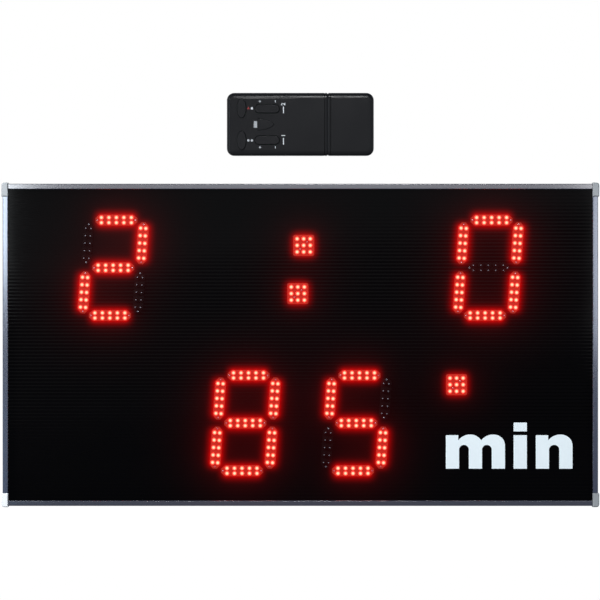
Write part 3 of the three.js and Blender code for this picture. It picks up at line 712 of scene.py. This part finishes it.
# Both rails are the same anodised metal. The upright copy is tinted blue, a painted blue
# reflection, and the tones of the two copies are set for how light falls on each.
rail_across = surface(
    "rail_anodised_across", (0.35, 0.345, 0.36), (0.38, 0.375, 0.39), (0.45, 0.45, 0.47),
    (0.20, 0.23), stretch=(0.012, 1, 1), **RAIL_LOOK)
rail_upright_painted_blue = surface(
    "rail_anodised_upright_painted_blue", (0.33, 0.355, 0.42), (0.35, 0.375, 0.44), (0.44, 0.46, 0.49),
    (0.24, 0.27), stretch=(1, 1, 0.012), **RAIL_LOOK)
cap_grey = surface(
    "cap_plastic_grey", (0.33, 0.345, 0.355), (0.37, 0.385, 0.395), (0.52, 0.54, 0.56),
    (0.38, 0.5), grain=1600.0, relief=0.00002, marks=60.0)
# The lower-left cap: the grey cap plastic painted near white, a painted pool of light on that
# corner.
cap_painted_light = surface(
    "cap_plastic_painted_light", (0.86, 0.88, 0.90), (0.92, 0.93, 0.94), (0.95, 0.95, 0.95),
    (0.38, 0.5), grain=1600.0, wear=0.2, marks=60.0)
back_black = surface(
    "back_sheet_black", (0.020, 0.020, 0.021), (0.028, 0.028, 0.029), (0.08, 0.08, 0.08),
    (0.42, 0.58), grain=1100.0, relief=0.00004, specular=0.35, marks=12.0,
    dust_colour=(0.16, 0.15, 0.14))
zinc_plate = surface(
    "hanger_zinc", (0.44, 0.45, 0.47), (0.54, 0.55, 0.57), (0.7, 0.7, 0.7), (0.25, 0.42),
    grain=260.0, relief=0.00002, wear=0.6, metallic=1.0, marks=70.0)
fitting_black = surface(
    "fitting_black", (0.005, 0.005, 0.0055), (0.008, 0.008, 0.0085), (0.05, 0.05, 0.05),
    (0.22, 0.36), grain=1800.0, wear=0.4, wear_width=0.0004, specular=0.45)
circuit_green = surface(
    "circuit_green", (0.012, 0.10, 0.035), (0.02, 0.16, 0.055), (0.45, 0.36, 0.12),
    (0.3, 0.45), grain=350.0, relief=0.00003, wear=0.3)
case_charcoal = surface(
    "handset_charcoal", *HANDSET_BLACKS, (0.18, 0.24), grain=2300.0, relief=0.000008, wear=0.3,
    wear_width=0.0008, specular=0.24, marks=45.0)
key_charcoal = surface(
    "handset_key", *HANDSET_BLACKS, (0.18, 0.26), grain=1700.0, relief=0.000008,
    wear_width=0.0005, specular=0.27, marks=80.0)
print_white = surface(
    "printed_white", (0.50, 0.52, 0.54), (0.62, 0.64, 0.66), (0.3, 0.3, 0.3), (0.4, 0.55),
    **PRINT_LOOK)
print_red = surface(
    "printed_red", (0.22, 0.02, 0.02), (0.28, 0.03, 0.03), (0.15, 0.02, 0.02), (0.4, 0.55),
    **PRINT_LOOK)
cell_jacket = surface(
    "cell_jacket", (0.03, 0.032, 0.036), (0.045, 0.047, 0.052), (0.3, 0.3, 0.3), (0.2, 0.34),
    grain=500.0, relief=0.000008, wear=0.3, metallic=0.3)


# Lamp bars and dots


def lamp():
    """A round lamp: flange, barrel and dome, standing on a face at depth 0."""
    barrel_end = LAMP_HEIGHT - LAMP_RADIUS
    profile = [(LAMP_FLANGE, 0.0), (LAMP_FLANGE, -LAMP_FLANGE_THICK),
               (LAMP_RADIUS, -LAMP_FLANGE_THICK), (LAMP_RADIUS, -barrel_end)]
    for ring in range(1, DOME_RINGS + 1):
        angle = DOME_REACH * ring / DOME_RINGS
        profile.append((LAMP_RADIUS * math.cos(angle),
                        -barrel_end - LAMP_RADIUS * math.sin(angle)))
    piece = turned("lamp", profile, LAMP_SIDES)
    smooth(piece, degrees=50)
    return piece


def screw(name, radius, height):
    """A pan head with a cross recess, standing on a face at depth 0."""
    head = turned(name, [(radius * across, -height * up) for across, up in SCREW_SHARES],
                  SCREW_SIDES)
    long, narrow = radius * RECESS_LENGTH_SHARE, radius * RECESS_WIDTH_SHARE
    for across, upright in ((long, narrow), (narrow, long)):
        cut_out(head, block("recess", (-across, -height * RECESS_TOP_SHARE, -upright),
                            (across, -height * RECESS_FLOOR_SHARE, upright)))
    smooth(head, degrees=45)
    return head


def lamp_module(name, plate, places, screw_places):
    """A plate with its lamps and its two screws, as one piece of three finishes."""
    paint(plate, plate_black)
    parts = [copy_of(lamp_master, "lamp", (x, -PLATE_THICK, z)) for x, z in places]
    parts += [copy_of(small_screw, "screw", (x, -PLATE_THICK, z)) for x, z in screw_places]
    return joined(name, plate, *parts)


def grid(columns, rows, pitch, row_gap):
    """Places across and up, set evenly about the middle."""
    return [((column - (columns - 1) / 2) * pitch, (row - (rows - 1) / 2) * row_gap)
            for column in range(columns) for row in range(rows)]


def runs_back(first, second):
    return abs(first.y - second.y) > TINY


def soften_rim(piece, depth, width, steps, wanted=lambda first, second: True):
    """Rounds the wanted edges that lie in the plane at this depth."""
    round_edges(piece, width, steps, lambda first, second: (
        abs(first.y - depth) < TINY and abs(second.y - depth) < TINY
        and wanted(first, second)))


def bar_module():
    """A level bar: its plate narrows to a short tip at both ends."""
    half = (plate_high.x - plate_low.x) / 2
    width = plate_high.z - plate_low.z
    plate = block("bar_plate", (-half, -PLATE_THICK, -width / 2), (half, 0, width / 2))
    shoulder = half - BAR_TAPER
    for side in (-1, 1):
        slice_at(plate, "x", side * shoulder)
        pick_faces(plate, lambda centre, normal: normal.x * side > STRAIGHT)
        bpy.ops.transform.resize(value=(1, 1, BAR_TIP / width),
                                 center_override=(side * half, 0, 0))
        close_mesh()
    soften_rim(plate, -PLATE_THICK, PLATE_EDGE, PLATE_EDGE_STEPS, lambda first, second: (
        abs(first.x - second.x) > TINY or abs(first.x) > shoulder + TINY))
    return lamp_module("bar_module", plate, grid(BAR_LAMPS, 2, BAR_PITCH, BAR_ROW_GAP),
                       [(-BAR_SCREWS / 2, 0), (BAR_SCREWS / 2, 0)])


def dot_module():
    low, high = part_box("prime_dot")
    half = (high.x - low.x) / 2
    plate = block("dot_plate", (-half, -PLATE_THICK, -half), (half, 0, half))
    round_edges(plate, DOT_CORNER, DOT_CORNER_STEPS, runs_back)
    soften_rim(plate, -PLATE_THICK, PLATE_EDGE, PLATE_EDGE_STEPS)
    return lamp_module("dot_module", plate, grid(DOT_LAMPS, DOT_LAMPS, DOT_PITCH, DOT_PITCH),
                       [(DOT_SCREWS, DOT_SCREWS), (-DOT_SCREWS, -DOT_SCREWS)])


def place_module(master, node, lit, turn=0.0):
    middle, back = middle_of(node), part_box(node)[1].y
    piece = copy_of(master, node + "_lamps", (middle.x, back, middle.z), (0, turn, 0))
    # A lit bar gets the plate with the painted red light of its lamps, and glowing lenses.
    if lit:
        piece.data.materials[0] = plate_painted_glow
        piece.data.materials[1] = lens_lit
    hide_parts(node)
    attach(piece, "board")


lamp_master = lamp()
paint(lamp_master, lens_dark)
small_screw = screw("small_screw", SMALL_SCREW_RADIUS, SMALL_SCREW_HEIGHT)
paint(small_screw, screw_steel)
bar_master = bar_module()
dot_master = dot_module()

for digit, dark_places in DARK_BARS.items():
    top, bottom = middle_of(digit + "_top_bar"), middle_of(digit + "_bottom_bar")
    lean = math.atan((top.x - bottom.x) / (top.z - bottom.z))
    for bar_place in BAR_PLACES:
        upright_turn = lean - math.pi / 2 if "_" in bar_place else 0.0
        place_module(bar_master, f"{digit}_{bar_place}_bar", bar_place not in dark_places,
                     upright_turn)
for dot in DOTS:
    place_module(dot_master, dot, True)
discard(bar_master, dot_master, lamp_master, small_screw)


# Fluted front sheet and its lettering


def fluted_sheet():
    """One flute, sunk between its walls, repeated up the sheet and cut to its height."""
    low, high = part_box("front_sheet")
    sheet = block("front_sheet_fluted", low, (high.x, high.y, low.z + FLUTE_PITCH))
    for step in range(1, FLUTE_STRIPS):
        level = low.z + FLUTE_PITCH * step / FLUTE_STRIPS
        slice_at(sheet, "z", level)
        sink = FLUTE_SINK * math.sin(math.pi * step / FLUTE_STRIPS)
        pick_corners(sheet, lambda corner: (
            abs(corner.z - level) < TINY and abs(corner.y - low.y) < TINY))
        bpy.ops.transform.translate(value=(0, sink, 0))
        close_mesh()
    pick_faces(sheet, lambda centre, normal: abs(normal.z) > STRAIGHT and (
        abs(centre.z - low.z) < TINY or abs(centre.z - low.z - FLUTE_PITCH) < TINY))
    bpy.ops.mesh.delete(type="ONLY_FACE")
    close_mesh()
    flutes = math.ceil((high.z - low.z) / FLUTE_PITCH)
    apply_modifier(sheet, "ARRAY", count=flutes, use_relative_offset=False,
                   use_constant_offset=True, constant_offset_displace=(0, 0, FLUTE_PITCH),
                   use_merge_vertices=True, merge_threshold=TINY)
    slice_at(sheet, "z", high.z, "above")
    for level in (low.z, high.z):
        pick_edges(sheet, lambda first, second: (
            abs(first.z - level) < TINY and abs(second.z - level) < TINY))
        bpy.ops.mesh.edge_face_add()
        close_mesh()
    tidy_mesh(sheet)
    smooth(sheet, degrees=30)
    dress(sheet, "front_sheet", sheet_black)


def film_letter(name, *strokes):
    """A letter of white film on the front sheet."""
    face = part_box("front_sheet")[0].y
    letter = outlined(name, strokes, LETTER_THICK, (0, face - LETTER_THICK / 2, 0))
    paint(letter, letter_white)
    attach(letter, "board")


def corner(x, z):
    return (x, z, (0, 0), (0, 0))


def rectangle(left, right, low, high):
    return [corner(left, low), corner(left, high), corner(right, high), corner(right, low)]


def arch_letter(name, left, arches, counter=LETTER_COUNTER):
    """Stems joined by arches at the top: one arch makes an n, two an m."""
    step = LETTER_STEM + counter
    right = left + arches * step + LETTER_STEM
    base = LETTER_BASE
    notch_level, peak_level, shoulder, arch_foot, arch_top = [
        base + LETTER_RISE * share for share in ARCH_LEVEL_SHARES]
    bite = LETTER_STEM * ARCH_BITE_SHARE
    leave = (step * ARCH_LEAVE[0], LETTER_RISE * ARCH_LEAVE[1])
    arrive = (-step * ARCH_ARRIVE[0], LETTER_RISE * ARCH_ARRIVE[1])
    outline = [corner(left, base), corner(left, base + LETTER_RISE),
               corner(left + LETTER_STEM - bite, base + LETTER_RISE)]
    for arch in range(arches):
        notch = left + arch * step + LETTER_STEM - bite
        peak = notch + step * ARCH_PEAK_SHARE
        last = arch == arches - 1
        reach = LETTER_STEM * (ARCH_LAST_REACH[0] if last else ARCH_PEAK_REACH[1])
        outline += [(notch, notch_level, (0, 0), leave),
                    (peak, peak_level, (-LETTER_STEM * ARCH_PEAK_REACH[0], 0), (reach, 0))]
        if not last:
            outline.append((notch + step, notch_level, arrive, (0, 0)))
    outline += [(right, shoulder, (0, LETTER_RISE * ARCH_LAST_REACH[1]), (0, 0)),
                corner(right, base)]
    side = counter * ARCH_INNER_REACH[0]
    lift = (arch_top - arch_foot) * ARCH_INNER_REACH[1]
    for arch in reversed(range(arches)):
        inner_right = left + (arch + 1) * step
        inner_left = inner_right - counter
        outline += [corner(inner_right, base), (inner_right, arch_foot, (0, 0), (0, lift)),
                    ((inner_left + inner_right) / 2, arch_top, (side, 0), (-side, 0)),
                    (inner_left, arch_foot, (0, lift), (0, 0)), corner(inner_left, base)]
    film_letter(name, outline)
    return right


def unit_lettering():
    """The unit of the clock, in plain bold letters of white film."""
    left = arch_letter("unit_letter_m", LETTER_LEFT, 2) + LETTER_GAP
    right = left + LETTER_STEM
    top = LETTER_BASE + LETTER_RISE
    dot_foot = top + LETTER_DOT_GAP
    film_letter("unit_letter_i", rectangle(left, right, LETTER_BASE, top),
                rectangle(left, right, dot_foot, dot_foot + LETTER_DOT))
    arch_letter("unit_letter_n", right + LETTER_LAST_GAP, 1, LETTER_LAST_COUNTER)


fluted_sheet()
unit_lettering()


# Rails, caps and the back of the board


def frame_and_caps():
    for side, finish in (("top", rail_across), ("bottom", rail_across),
                         ("left", rail_upright_painted_blue), ("right", rail_upright_painted_blue)):
        refined(side + "_rail", side + "_rail_extrusion", RAIL_EDGE, finish)
    for node in frame["nodes"]:
        if node.startswith("corner_cap"):
            # The lower-left cap takes the copy that is painted light.
            finish = cap_painted_light if node.endswith("lower_left") else cap_grey
            refined(node, node + "_moulding", CAP_EDGE, finish,
                    steps=3, angle=20)


def back_fittings():
    refined("back_sheet", "back_sheet_panel", BACK_EDGE, back_black, steps=1)
    pan = screw("pan_screw", PAN_SCREW_RADIUS, PAN_SCREW_HEIGHT)
    paint(pan, screw_steel)
    for node in ("hanger_left", "hanger_right"):
        refined(node, node + "_plate", BACK_EDGE, zinc_plate)
        middle, back = middle_of(node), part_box(node)[1].y
        for side, label in ((-1, "inner"), (1, "outer")):
            head = copy_of(pan, f"{node}_screw_{label}",
                           (middle.x + side * HANGER_SCREW_ASIDE, back, middle.z),
                           (0, 0, math.pi))
            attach(head, "board")
    discard(pan)
    for part, name in (("housing", "power_switch_frame"), ("rocker", "power_switch_paddle")):
        refined("power_switch_" + part, name, BACK_EDGE, fitting_black)


def inlet_socket():
    """A flanged barrel with a pin in its bore, turned to the back."""
    low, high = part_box("power_inlet")
    x, z = (low.x + high.x) / 2, (low.z + high.z) / 2
    flange = (high.x - low.x) / 2
    mouth = high.y
    shank = mouth - INLET_FLANGE_THICK
    bore_floor = mouth - INLET_BORE_DEPTH
    profile = [(INLET_TAIL, low.y), (INLET_TAIL, shank - INLET_SHANK),
               (INLET_BARREL, shank - INLET_SHANK), (INLET_BARREL, shank), (flange, shank),
               (flange, mouth - PLATE_EDGE), (flange - PLATE_EDGE, mouth), (INLET_BORE, mouth),
               (INLET_BORE, bore_floor), (INLET_PIN, bore_floor),
               (INLET_PIN, mouth - INLET_PIN_SINK - INLET_PIN / 2),
               (INLET_PIN / 2, mouth - INLET_PIN_SINK)]
    socket = turned("power_inlet_socket", profile, INLET_SIDES, (x, 0, z))
    smooth(socket)
    dress(socket, "power_inlet", fitting_black)
    socket.data.materials.append(screw_steel)
    for face in socket.data.polygons:
        reach = math.hypot(face.center.x - x, face.center.z - z)
        if reach < INLET_PIN + TINY and face.center.y > bore_floor + TINY:
            face.material_index = 1


def paint_circuits():
    """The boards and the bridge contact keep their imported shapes."""
    for node, finish in (("controller_board", circuit_green), ("receiver_module", circuit_green),
                         ("handset_circuit", circuit_green), ("battery_bridge", zinc_plate)):
        for place in frame["nodes"][node].material_slots:
            place.material = finish


frame_and_caps()
back_fittings()
inlet_socket()
paint_circuits()


# Handset

handset_low, handset_high = [end.copy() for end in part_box("case_back")]
case_face = handset_low.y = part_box("case_front")[0].y
print_face = case_face - PRINT_THICK
split = case_face + CASE_SPLIT
seam_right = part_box("case_front")[1].x


def casing(name):
    """A closed rounded box with soft rims, whose face slopes a little towards them."""
    shell = block(name, handset_low + Vector((0, FACE_SLOPE_DROP, 0)), handset_high)
    round_edges(shell, CASE_CORNER, CASE_CORNER_STEPS, runs_back)
    round_edges(shell, CASE_EDGE, CASE_EDGE_STEPS, lambda *ends: not runs_back(*ends))
    pick_faces(shell, lambda centre, normal: normal.y < -STRAIGHT)
    bpy.ops.mesh.inset(thickness=FACE_SLOPE_WIDTH, depth=FACE_SLOPE_DROP)
    close_mesh()
    return shell


def press_line(shell, middle, half_width, sink):
    """A line with sloping sides, pressed in all round the casing."""
    for place in (middle - half_width, middle, middle + half_width):
        slice_at(shell, "x", place)
    deep = split - case_face
    tall = (handset_high.z - handset_low.z) / 2
    pick_corners(shell, lambda point: abs(point.x - middle) < TINY)
    bpy.ops.transform.resize(
        value=(1, 1 - sink / deep, 1 - sink / tall),
        center_override=(middle, split, (handset_low.z + handset_high.z) / 2))
    close_mesh()


def stadium(name, length, width, front, back, x, z):
    """A disc pulled apart at its middle."""
    piece = disc(name, width / 2, front, back, x, z, STADIUM_SIDES)
    for side in (-1, 1):
        pick_corners(piece, lambda point: (point.x - x) * side > 0)
        bpy.ops.transform.translate(value=(side * (length - width) / 2, 0, 0))
        close_mesh()
    return piece


def oval(name, width, height, front, back, x, z):
    piece = disc(name, width / 2, front, back, x, z, OVAL_SIDES)
    open_mesh(piece)
    bpy.ops.transform.resize(value=(1, 1, height / width), center_override=(x, 0, z))
    close_mesh()
    return piece


def bullet(name, grow, front, back, x, z, edge):
    """Flat at its left and pointed at its right."""
    end = MODE_LENGTH / 2 + grow - edge
    top = MODE_HEIGHT / 2 + grow - edge
    bow = end * MODE_BOW
    in_x, in_z = end * MODE_POINT[0], top * MODE_POINT[1]
    outline = [(-end, -top, (0, 0), (bow, 0)), (end, 0, (-in_x, -in_z), (-in_x, in_z)),
               (-end, top, (bow, 0), (0, 0))]
    return outlined(name, [outline], back - front, (x, (front + back) / 2, z), edge)


OVALS = ("start_stop_button", "set_reset_button")
TEAMS = ("team_2_rocker", "team_1_rocker")
KEYS = {node: middle_of(node) for node in (*OVALS, *TEAMS, "mode_button")}


def key_shape(name, node, front, back, fit=0.0, edge=0.0):
    """The outline of a key, or with a fit that of its opening."""
    place = (front, back, *KEYS[node].xz)
    if node in OVALS:
        return oval(name, OVAL_WIDTH + 2 * fit, OVAL_HEIGHT + 2 * fit, *place)
    if node in TEAMS:
        return stadium(name, TEAM_LENGTH + 2 * fit, TEAM_WIDTH + 2 * fit, *place)
    return bullet(name, fit, *place, edge)


def part_of_casing(name, start, end, front=True):
    """The casing between two places across, with its wall, and its cut edges softened."""
    shell = casing(name)
    level, drop = (split, "above") if front else (split + SPLIT_GAP, "below")
    slice_at(shell, "y", level, drop)
    if start is not None:
        slice_at(shell, "x", start, "below")
    if end is not None:
        slice_at(shell, "x", end, "above")
    if start is None:
        for place, half_width, sink in SEAM_LINES:
            press_line(shell, seam_right + place, half_width, sink)
    apply_modifier(shell, "SOLIDIFY", thickness=CASE_WALL, offset=-1, use_even_offset=True)
    tidy_mesh(shell)
    apply_modifier(shell, "BEVEL", width=SEAM_EDGE, segments=2, limit_method="ANGLE",
                   angle_limit=CUT_ANGLE)
    return shell


def handset_shells():
    front = part_of_casing("case_front_shell", None, seam_right - SEAM_GAP)
    for node in KEYS:
        cut_out(front, key_shape("opening", node, case_face - CASE_WALL,
                                 case_face + 2 * CASE_WALL,
                                 TEAM_FIT if node in TEAMS else KEY_FIT))
    cover = part_of_casing("battery_cover_shell", seam_right + SEAM_GAP, None)
    back = part_of_casing("case_back_shell", None, None, front=False)
    for piece, node in ((front, "case_front"), (cover, "battery_cover"), (back, "case_back")):
        smooth_flat(piece, degrees=35)
        dress(piece, node, case_charcoal)


def handset_keys():
    for node in KEYS:
        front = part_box(node)[0].y
        key = key_shape(node + "_key", node, front, front + KEY_DEPTH, edge=MODE_EDGE)
        if node != "mode_button":
            soften_rim(key, front, KEY_EDGE, KEY_EDGE_STEPS)
        smooth_flat(key)
        dress(key, node, key_charcoal)


def print_on(piece, finish):
    paint(piece, finish)
    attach(piece, "handset")


def mark_bar(place, aside, rise, length, width):
    x, z = place.x + aside, place.z + rise
    return block("mark", (x - length / 2, print_face, z - width / 2),
                 (x + length / 2, case_face, z + width / 2))


def mark_ring(x, z):
    outer, inner = MARK_SIZE / 2, MARK_SIZE / 2 - MARK_STROKE
    return turned("mark", [(outer, case_face), (outer, print_face), (inner, print_face),
                           (inner, case_face)], RING_SIDES, (x, 0, z))


def mark_number(text, x, z):
    """A plain number, turned as the handset is read."""
    bpy.ops.object.text_add(location=(x, case_face - PRINT_THICK / 2, z))
    number = bpy.context.object
    adjust(number.data, body=text, size=MARK_NUMBER, extrude=PRINT_THICK / 2,
           offset=MARK_NUMBER_BOLD, align_x="CENTER", align_y="CENTER")
    number.rotation_euler = (math.pi / 2, -math.pi / 2, 0)
    bpy.ops.object.convert(target="MESH")
    return settle("mark")


def handset_marks():
    """Plus and minus beside the team keys, a number for each, and plain signs by the others."""
    white = []
    for node, number, side in (("team_2_rocker", "2", 1), ("team_1_rocker", "1", -1)):
        place, rise = KEYS[node], side * MARK_RISE
        white += [mark_bar(place, -MARK_PLUS_ASIDE, rise, MARK_SIZE, MARK_STROKE),
                  mark_bar(place, -MARK_PLUS_ASIDE, rise, MARK_STROKE, MARK_SIZE),
                  mark_bar(place, MARK_MINUS_ASIDE, rise, MARK_STROKE, MARK_SIZE),
                  mark_number(number, place.x + MARK_NUMBER_ASIDE, place.z + MARK_NUMBER_RISE),
                  mark_bar(place, MARK_NUMBER_ASIDE, -MARK_LINE_DROP, MARK_LINE_WIDTH,
                           MARK_LINE)]
    stop, reset, mode = [KEYS[node] for node in (*OVALS, "mode_button")]
    white.append(mark_bar(stop, MARK_OUTER, 0, MARK_SIZE, MARK_SIZE))
    white += [mark_ring(reset.x + aside, reset.z) for aside in (MARK_INNER, MARK_OUTER)]
    white += [mark_bar(mode, step * MARK_LINE_STEP - MARK_MODE_ASIDE, 0, MARK_STROKE, MARK_LINE)
              for step in (-1, 0, 1)]
    print_on(joined("handset_print_white", *white), print_white)
    start = disc("handset_print_red", MARK_TRIANGLE, print_face, case_face,
                 stop.x + MARK_INNER, stop.z, sides=3)
    print_on(start, print_red)


def handset_cells():
    for node, turn in (("battery_cell_1", math.pi / 2), ("battery_cell_2", -math.pi / 2)):
        low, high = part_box(node)
        half = (high.z - low.z) / 2
        end = half - CELL_NUB_RISE
        profile = [(CELL_FOOT, -half), (CELL_FOOT, -half + CELL_RIM),
                   (CELL_RADIUS - CELL_RIM, -half + CELL_RIM),
                   (CELL_RADIUS, -half + 2 * CELL_RIM), (CELL_RADIUS, end - CELL_RIM),
                   (CELL_RADIUS - CELL_RIM, end), (CELL_NUB, end),
                   (CELL_NUB, half - CELL_RIM), (CELL_NUB - CELL_RIM, half)]
        cell = turned(node + "_jacket", profile, CELL_SIDES)
        smooth(cell)
        dress(cell, node, cell_jacket)
        cell.data.materials.append(screw_steel)
        for face in cell.data.polygons:
            at_end = abs(face.normal.y) > CELL_END_FACING
            if at_end or math.hypot(face.center.x, face.center.z) < CELL_NUB:
                face.material_index = 1
        cell.location = (low + high) / 2
        cell.rotation_euler = (turn, 0, 0)
        take(cell)
        settle(node + "_jacket")


handset_shells()
handset_keys()
handset_marks()
handset_cells()


# Studio


def pale_floor(tree):
    """Where reflections find the floor pale: behind the front and close beside it."""
    aside = sum_of(tree, "ABSOLUTE", place_along(tree, "X"))
    aside = ranged(tree, aside, FRONT_HALF_WIDTH, soft=True)
    depth = place_along(tree, "Y")
    near = ranged(tree, depth, FRONT_REACH, soft=True)
    behind = ranged(tree, depth, FRONT_LINE, soft=True)
    return sum_of(tree, "MAXIMUM", sum_of(tree, "MULTIPLY", aside, near), behind)


def studio_floor():
    """Shines white for the camera, and blue or pale grey for reflections."""
    bpy.ops.mesh.primitive_plane_add(size=FLOOR_SIZE, location=(0, 0, 0))
    floor = settle("studio_floor")
    material, tree, shader = new_finish("studio_floor_pale")
    seen = add_node(tree, "ShaderNodeLightPath").outputs
    mirrored = [MIRRORED_LEVEL * part for part in MIRRORED_BLUE]
    mirrored = mixed(tree, pale_floor(tree), mirrored, MIRRORED_PALE)
    by_gloss = mixed(tree, seen["Is Glossy Ray"], (0, 0, 0), mirrored)
    give(tree, shader, {
        "Base Color": FLOOR_GREY,
        "Roughness": 0.9,
        "Specular IOR Level": 0.0,
        "Emission Color": mixed(tree, seen["Is Camera Ray"], by_gloss, [FLOOR_GLOW] * 3),
        "Emission Strength": 1.0})
    paint(floor, material)


def soft_light(name, place, size, energy, colour=WHITE, target=None, mirrored=True, roll=0):
    """A rectangle of light; without a target it shines straight to the back."""
    width, height = size
    data = bpy.data.lights.new(name, "AREA")
    adjust(data, shape="RECTANGLE", size=width, size_y=height, energy=energy, color=colour)
    light = placed(name, data, place)
    target = target or (place[0], 0, place[2])
    aim = (Vector(target) - Vector(place)).to_track_quat("-Z", "Y")
    light.rotation_euler = (aim @ Quaternion((0, 0, 1), math.radians(roll))).to_euler()
    light.visible_glossy = mirrored


def studio_lights():
    """Sizes are width and height in metres, energies in watts."""
    soft_light("key_light", (-1.3, -1.1, 0.9), (0.6, 0.6), 34.0, (0.93, 0.96, 1.0),
               BOARD_MIDDLE, mirrored=False)
    soft_light("fill_light", (1.5, -1.7, 0.3), (1.2, 1.2), 22.0, (0.80, 0.90, 1.0),
               BOARD_MIDDLE, mirrored=False)
    soft_light("left_sheen", (-0.3875, -0.42, 0.475), (0.06, 0.42), 0.40, (0.90, 0.97, 1.0))
    soft_light("right_sheen", (0.3875, -0.42, 0.40), (0.06, 0.42), 0.14)
    soft_light("low_left_sheen", (-0.56, -1.0, 0.04), (0.3, 0.08), 0.06, (0.30, 0.65, 1.0))
    for label, side, energy in (("left", -1, 0.4), ("right", 1, 0.25)):
        soft_light(label + "_edge_light", (side * 1.2, -0.02, 0.40), (0.3, 0.5), energy,
                   target=(0, -0.02, 0.40))
    soft_light("panel_sheen", (0, -1.2, 0.505), (1.1, 0.5), 0.75, roll=7.8)
    soft_light("upper_sheen", (0.05, -1.2, 0.65), (0.9, 0.26), 1.35)
    soft_light("low_sheen", (0, -1.5, 0.06), (1.2, 0.3), 0.12, (1.0, 0.88, 0.92))
    soft_light("edge_light", (0.04, -1.2, 0.84), (0.14, 0.20), 1.8, target=(0.04, 0, 0.46))
    soft_light("back_light", (0.2, 1.8, 1.6), (1.4, 1.4), 18.0, target=BOARD_MIDDLE,
               mirrored=False)
    soft_light("back_wall", (0, 4.0, 1.7), (9.0, 3.4), 60.0)
    for label, side in (("left", -1), ("right", 1)):
        soft_light(label + "_wall", (side * 3.0, 1.2, 1.2), (2.4, 2.4), 12.0,
                   target=(0, 1.2, 1.2))


def studio_world():
    """White behind the object, and a softer white for its light and reflections."""
    world = bpy.data.worlds.new("studio_white")
    bpy.context.scene.world = world
    world.use_nodes = True
    tree = world.node_tree
    seen = add_node(tree, "ShaderNodeLightPath").outputs
    soft = tree.nodes["Background"]
    give(tree, soft, {"Color": SOFT_WHITE, "Strength": WORLD_SOFT})
    shown = soft.outputs[0]
    for ray, colour, level in (("Is Glossy Ray", MIRRORED_BLUE, MIRRORED_LEVEL),
                               ("Is Camera Ray", WHITE, 1.0)):
        other = add_node(tree, "ShaderNodeBackground", {"Color": colour, "Strength": level})
        shown = add_node(tree, "ShaderNodeMixShader", {
            0: seen[ray], 1: shown, 2: other.outputs[0]}).outputs[0]
    give(tree, tree.nodes["World Output"], {"Surface": shown})


def studio_camera():
    """Straight on, far away: the width of the picture is PICTURE_WIDTH at the lamps."""
    data = bpy.data.cameras.new("studio_camera")
    data.lens = data.sensor_width * CAMERA_AWAY / PICTURE_WIDTH
    data.clip_end = CAMERA_CLIP
    place = (CAMERA_ASIDE, LAMP_TIP - CAMERA_AWAY, PICTURE_MIDDLE)
    bpy.context.scene.camera = placed("studio_camera", data, place, (math.pi / 2, 0, 0))


def picture_sum(tree, operation, *values):
    return sum_of(tree, operation, *values, kind="CompositorNodeMath")


def picture_parts(tree, picture):
    return add_node(tree, "CompositorNodeSeparateColor", {0: picture}).outputs


def lamp_bloom():
    """The red bloom of a lens round the lit lamps: a tight one and a wide faint one."""
    scene = bpy.context.scene
    scene.use_nodes = True
    tree = scene.node_tree
    tree.nodes.clear()
    picture = add_node(tree, "CompositorNodeRLayers").outputs["Image"]
    bloom = 0.0
    for size, gain in BLOOMS:
        glare = add_node(tree, "CompositorNodeGlare", {
            "Image": picture, "Threshold": BLOOM_THRESHOLD, "Strength": 1.0, "Size": size},
            glare_type="BLOOM", quality="HIGH")
        halo = picture_parts(tree, glare.outputs["Glare"])
        bloom = picture_sum(tree, "MULTIPLY_ADD", halo[0], gain, bloom)
    bloom = picture_sum(tree, "SMOOTH_MIN", bloom, BLOOM_MOST, BLOOM_KNEE)
    parts = picture_parts(tree, picture)
    whole = add_node(tree, "CompositorNodeCombineColor", {
        0: picture_sum(tree, "ADD", parts[0], bloom), 1: parts[1], 2: parts[2]})
    add_node(tree, "CompositorNodeComposite", {"Image": whole.outputs[0]})


studio_floor()
studio_lights()
studio_world()
studio_camera()
lamp_bloom()
bpy.context.scene.view_settings.view_transform = "Standard"
